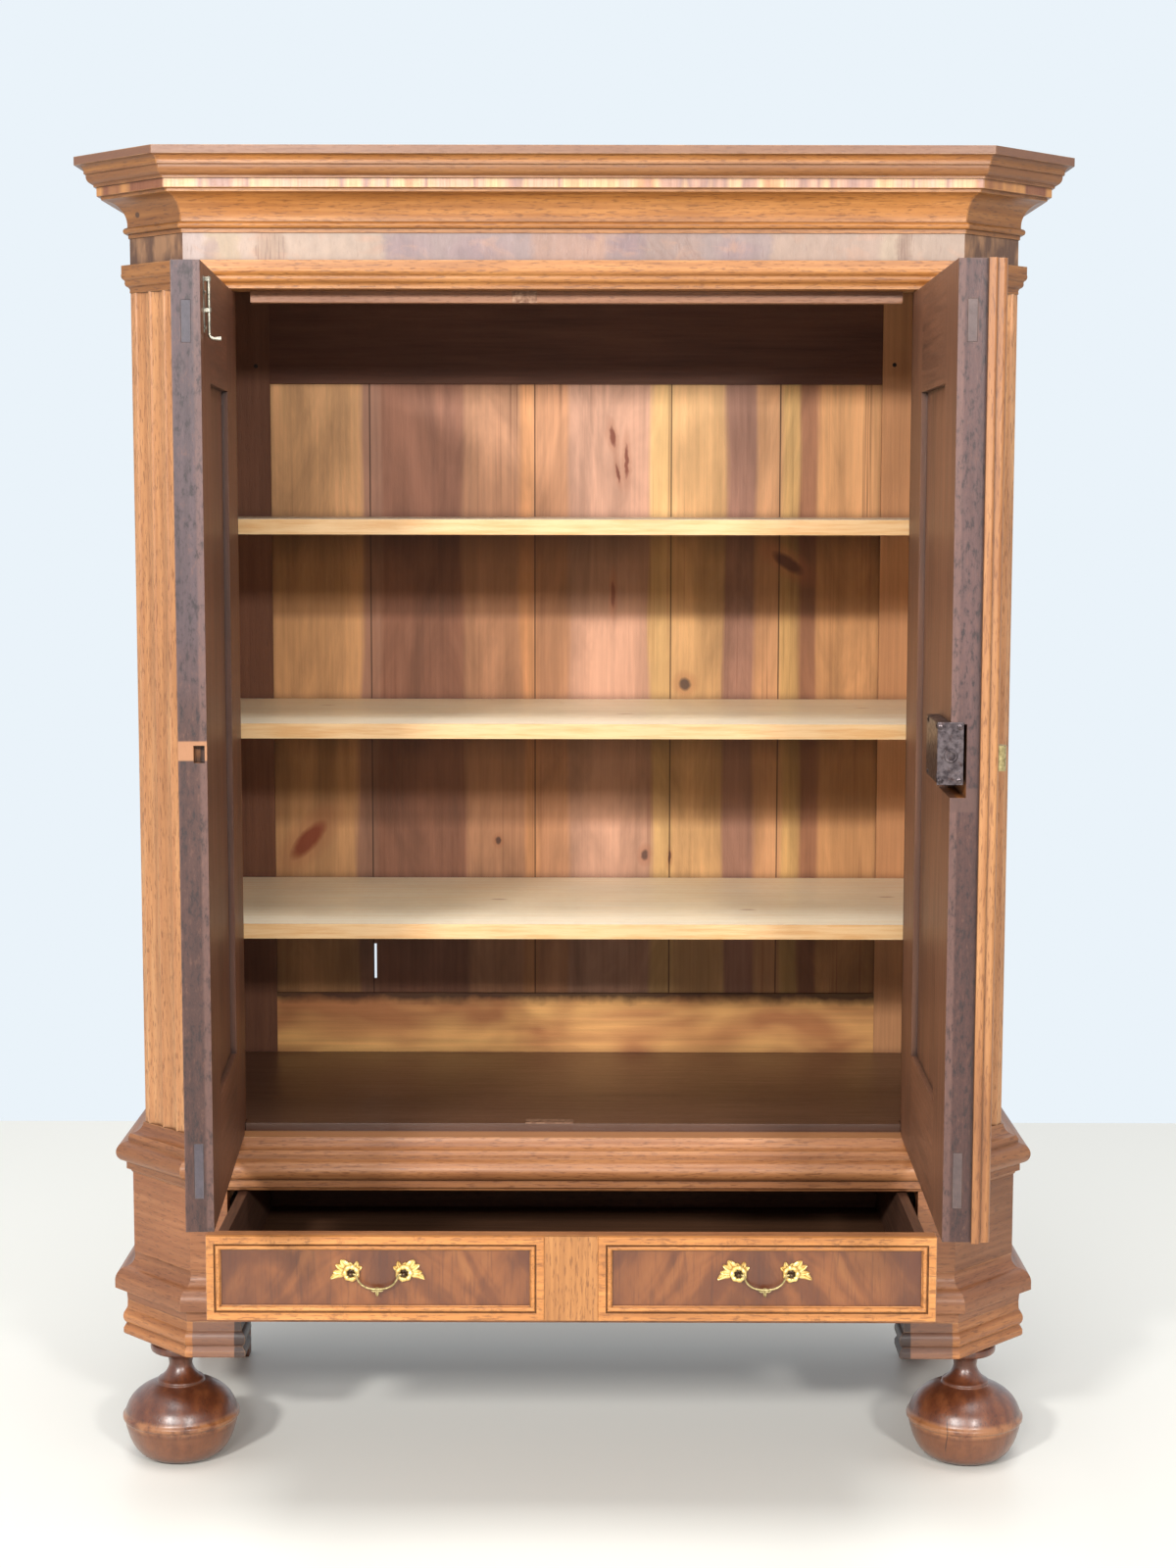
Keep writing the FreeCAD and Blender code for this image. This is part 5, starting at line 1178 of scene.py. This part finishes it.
def makeLock(shape):
    # the case on the inner face, its edge plate, screws, and a round bolt
    work = bmesh.new()
    edge, rim = shape["edge"], shape["rim"]
    outer = edge + shape["wall"]
    slab(work, square(edge - shape["width"], edge, shape["low"], shape["high"]),
         shape["front"], shape["back"], onLeaf("right"), shape["caseRound"])
    plate = square(shape["front"] - rim, shape["back"] + rim * 1.5, shape["low"] - rim, shape["high"] + rim)
    slab(work, plate, edge - shape["bed"], outer, onLeaf("right", (2, 1, 0)), rim)
    for depth, z in shape["screws"]:
        screwHead(work, leafPoint("right", outer, z, depth), leafWay("right", 1, 0),
                  shape["screwSize"], z * 40)
    for along, z in shape["caseScrews"]:
        screwHead(work, leafPoint("right", along, z, shape["back"]), leafWay("right", 0, 1),
                  shape["caseScrewSize"], z * 30)
    piece = addPiece("rim_lock", work, metals["lock"], "right_door", 35)
    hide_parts("lock_case")
    bolt = shape["bolt"]
    depth, z = bolt["at"]
    work = bmesh.new()
    turned(work, [(bolt["radius"] * reach, out) for reach, out in bolt["rings"]], bolt["sides"],
           lambda x, y, out: leafPoint("right", edge + out, z + y, depth + x))
    piece = addPiece("round_bolt", work, metals["lock"], "lock_bolt", 35)
    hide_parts("lock_bolt")


makeLock(lockShape)

rearShape = {
    "centre": 0.6, "half": 0.043, "outline": [
        (0.45, 0.1845), (0.536, 0.1845), (0.536, 0), (0.506, 0), (0.504, 0.03), (0.494, 0.075),
        (0.47, 0.115), (0.454, 0.15)],
}


def makeRearFeet(shape):
    # plain sawn blocks that taper towards the wall
    work = bmesh.new()
    for hand in (-1, 1):
        low = hand * shape["centre"] - shape["half"]
        slab(work, shape["outline"], low, low + shape["half"] * 2, lambda y, z, x: (x, y, z))
    piece = addPiece("rear_blocks", work, rearWood, "carcass", 30)
    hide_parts("rear_feet")


makeRearFeet(rearShape)

boltShape = {
    "along": 0.4585, "face": 0.0364, "low": 1.666, "high": 1.736, "half": 0.01, "wall": 0.001,
    "bed": 0.0002, "plateRound": 0.0006, "screwAway": 0.0085, "screwSize": 0.0026, "screwEnds": (0.006, 0.02),
    "collars": (1.694, 1.7325), "collarHalf": 0.0024, "collarReach": (0.0042, 0.0034), "collarFoot": 0.0046,
    "collarRound": 0.0004, "collarSteps": 12,
    "line": 0.0424, "radius": 0.0021, "sides": 14, "middle": 1.71, "foot": 1.6585, "reach": 0.015,
    "bend": 0.006, "bendSteps": 6, "knob": 1.35, "knobLength": 0.002,
}


def makeBolt(shape):
    # a thin plate with two collars, and a round rod bent into a foot
    work = bmesh.new()
    along, face, line = shape["along"], shape["face"], shape["line"]
    outer = face + shape["wall"]
    slab(work, square(along - shape["half"], along + shape["half"], shape["low"], shape["high"]),
         face - shape["bed"], outer, onLeaf("left"), shape["plateRound"])
    steps = shape["collarSteps"]
    reachAlong, reachOut = shape["collarReach"]
    arch = [(along + reachAlong * cosine, line + reachOut * sine)
            for cosine, sine in around(2 * steps)[:steps + 1]]
    profile = [(along + shape["collarFoot"], face), *arch, (along - shape["collarFoot"], face)]
    for level in shape["collars"]:
        slab(work, profile, level - shape["collarHalf"], level + shape["collarHalf"],
             onLeaf("left", (0, 2, 1)), shape["collarRound"])
    for level in (shape["low"] + shape["screwEnds"][0], shape["high"] - shape["screwEnds"][1]):
        for hand in (-1, 1):
            screwHead(work, leafPoint("left", along + hand * shape["screwAway"], level, outer),
                      leafWay("left", 0, 1), shape["screwSize"], level * 50 + hand)
    piece = addPiece("bolt_back", work, metals["steel"], "left_door", 35)
    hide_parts("bolt_plate")
    work = bmesh.new()
    bend, foot = shape["bend"], shape["foot"]
    path = [(line, shape["high"]), (line, shape["middle"]), (line, foot + bend * 1.4)]
    for step in range(1, shape["bendSteps"] + 1):
        turn = math.pi / 2 * step / shape["bendSteps"]
        path.append((line + bend * (1 - math.cos(turn)), foot + bend * (1 - math.sin(turn))))
    path += [(line + shape["reach"] - shape["knobLength"], foot), (line + shape["reach"], foot)]
    radii = [shape["radius"]] * (len(path) - 2) + [shape["radius"] * shape["knob"]] * 2
    tube(work, [Vector((*point, 0)) for point in path], radii, shape["sides"],
         lambda point, out: leafPoint("left", along + out, point.y, point.x))
    piece = addPiece("bent_bolt", work, metals["steel"], "door_bolt", 50)
    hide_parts("bolt_rod")


makeBolt(boltShape)
print("stage: lock and bolt made")
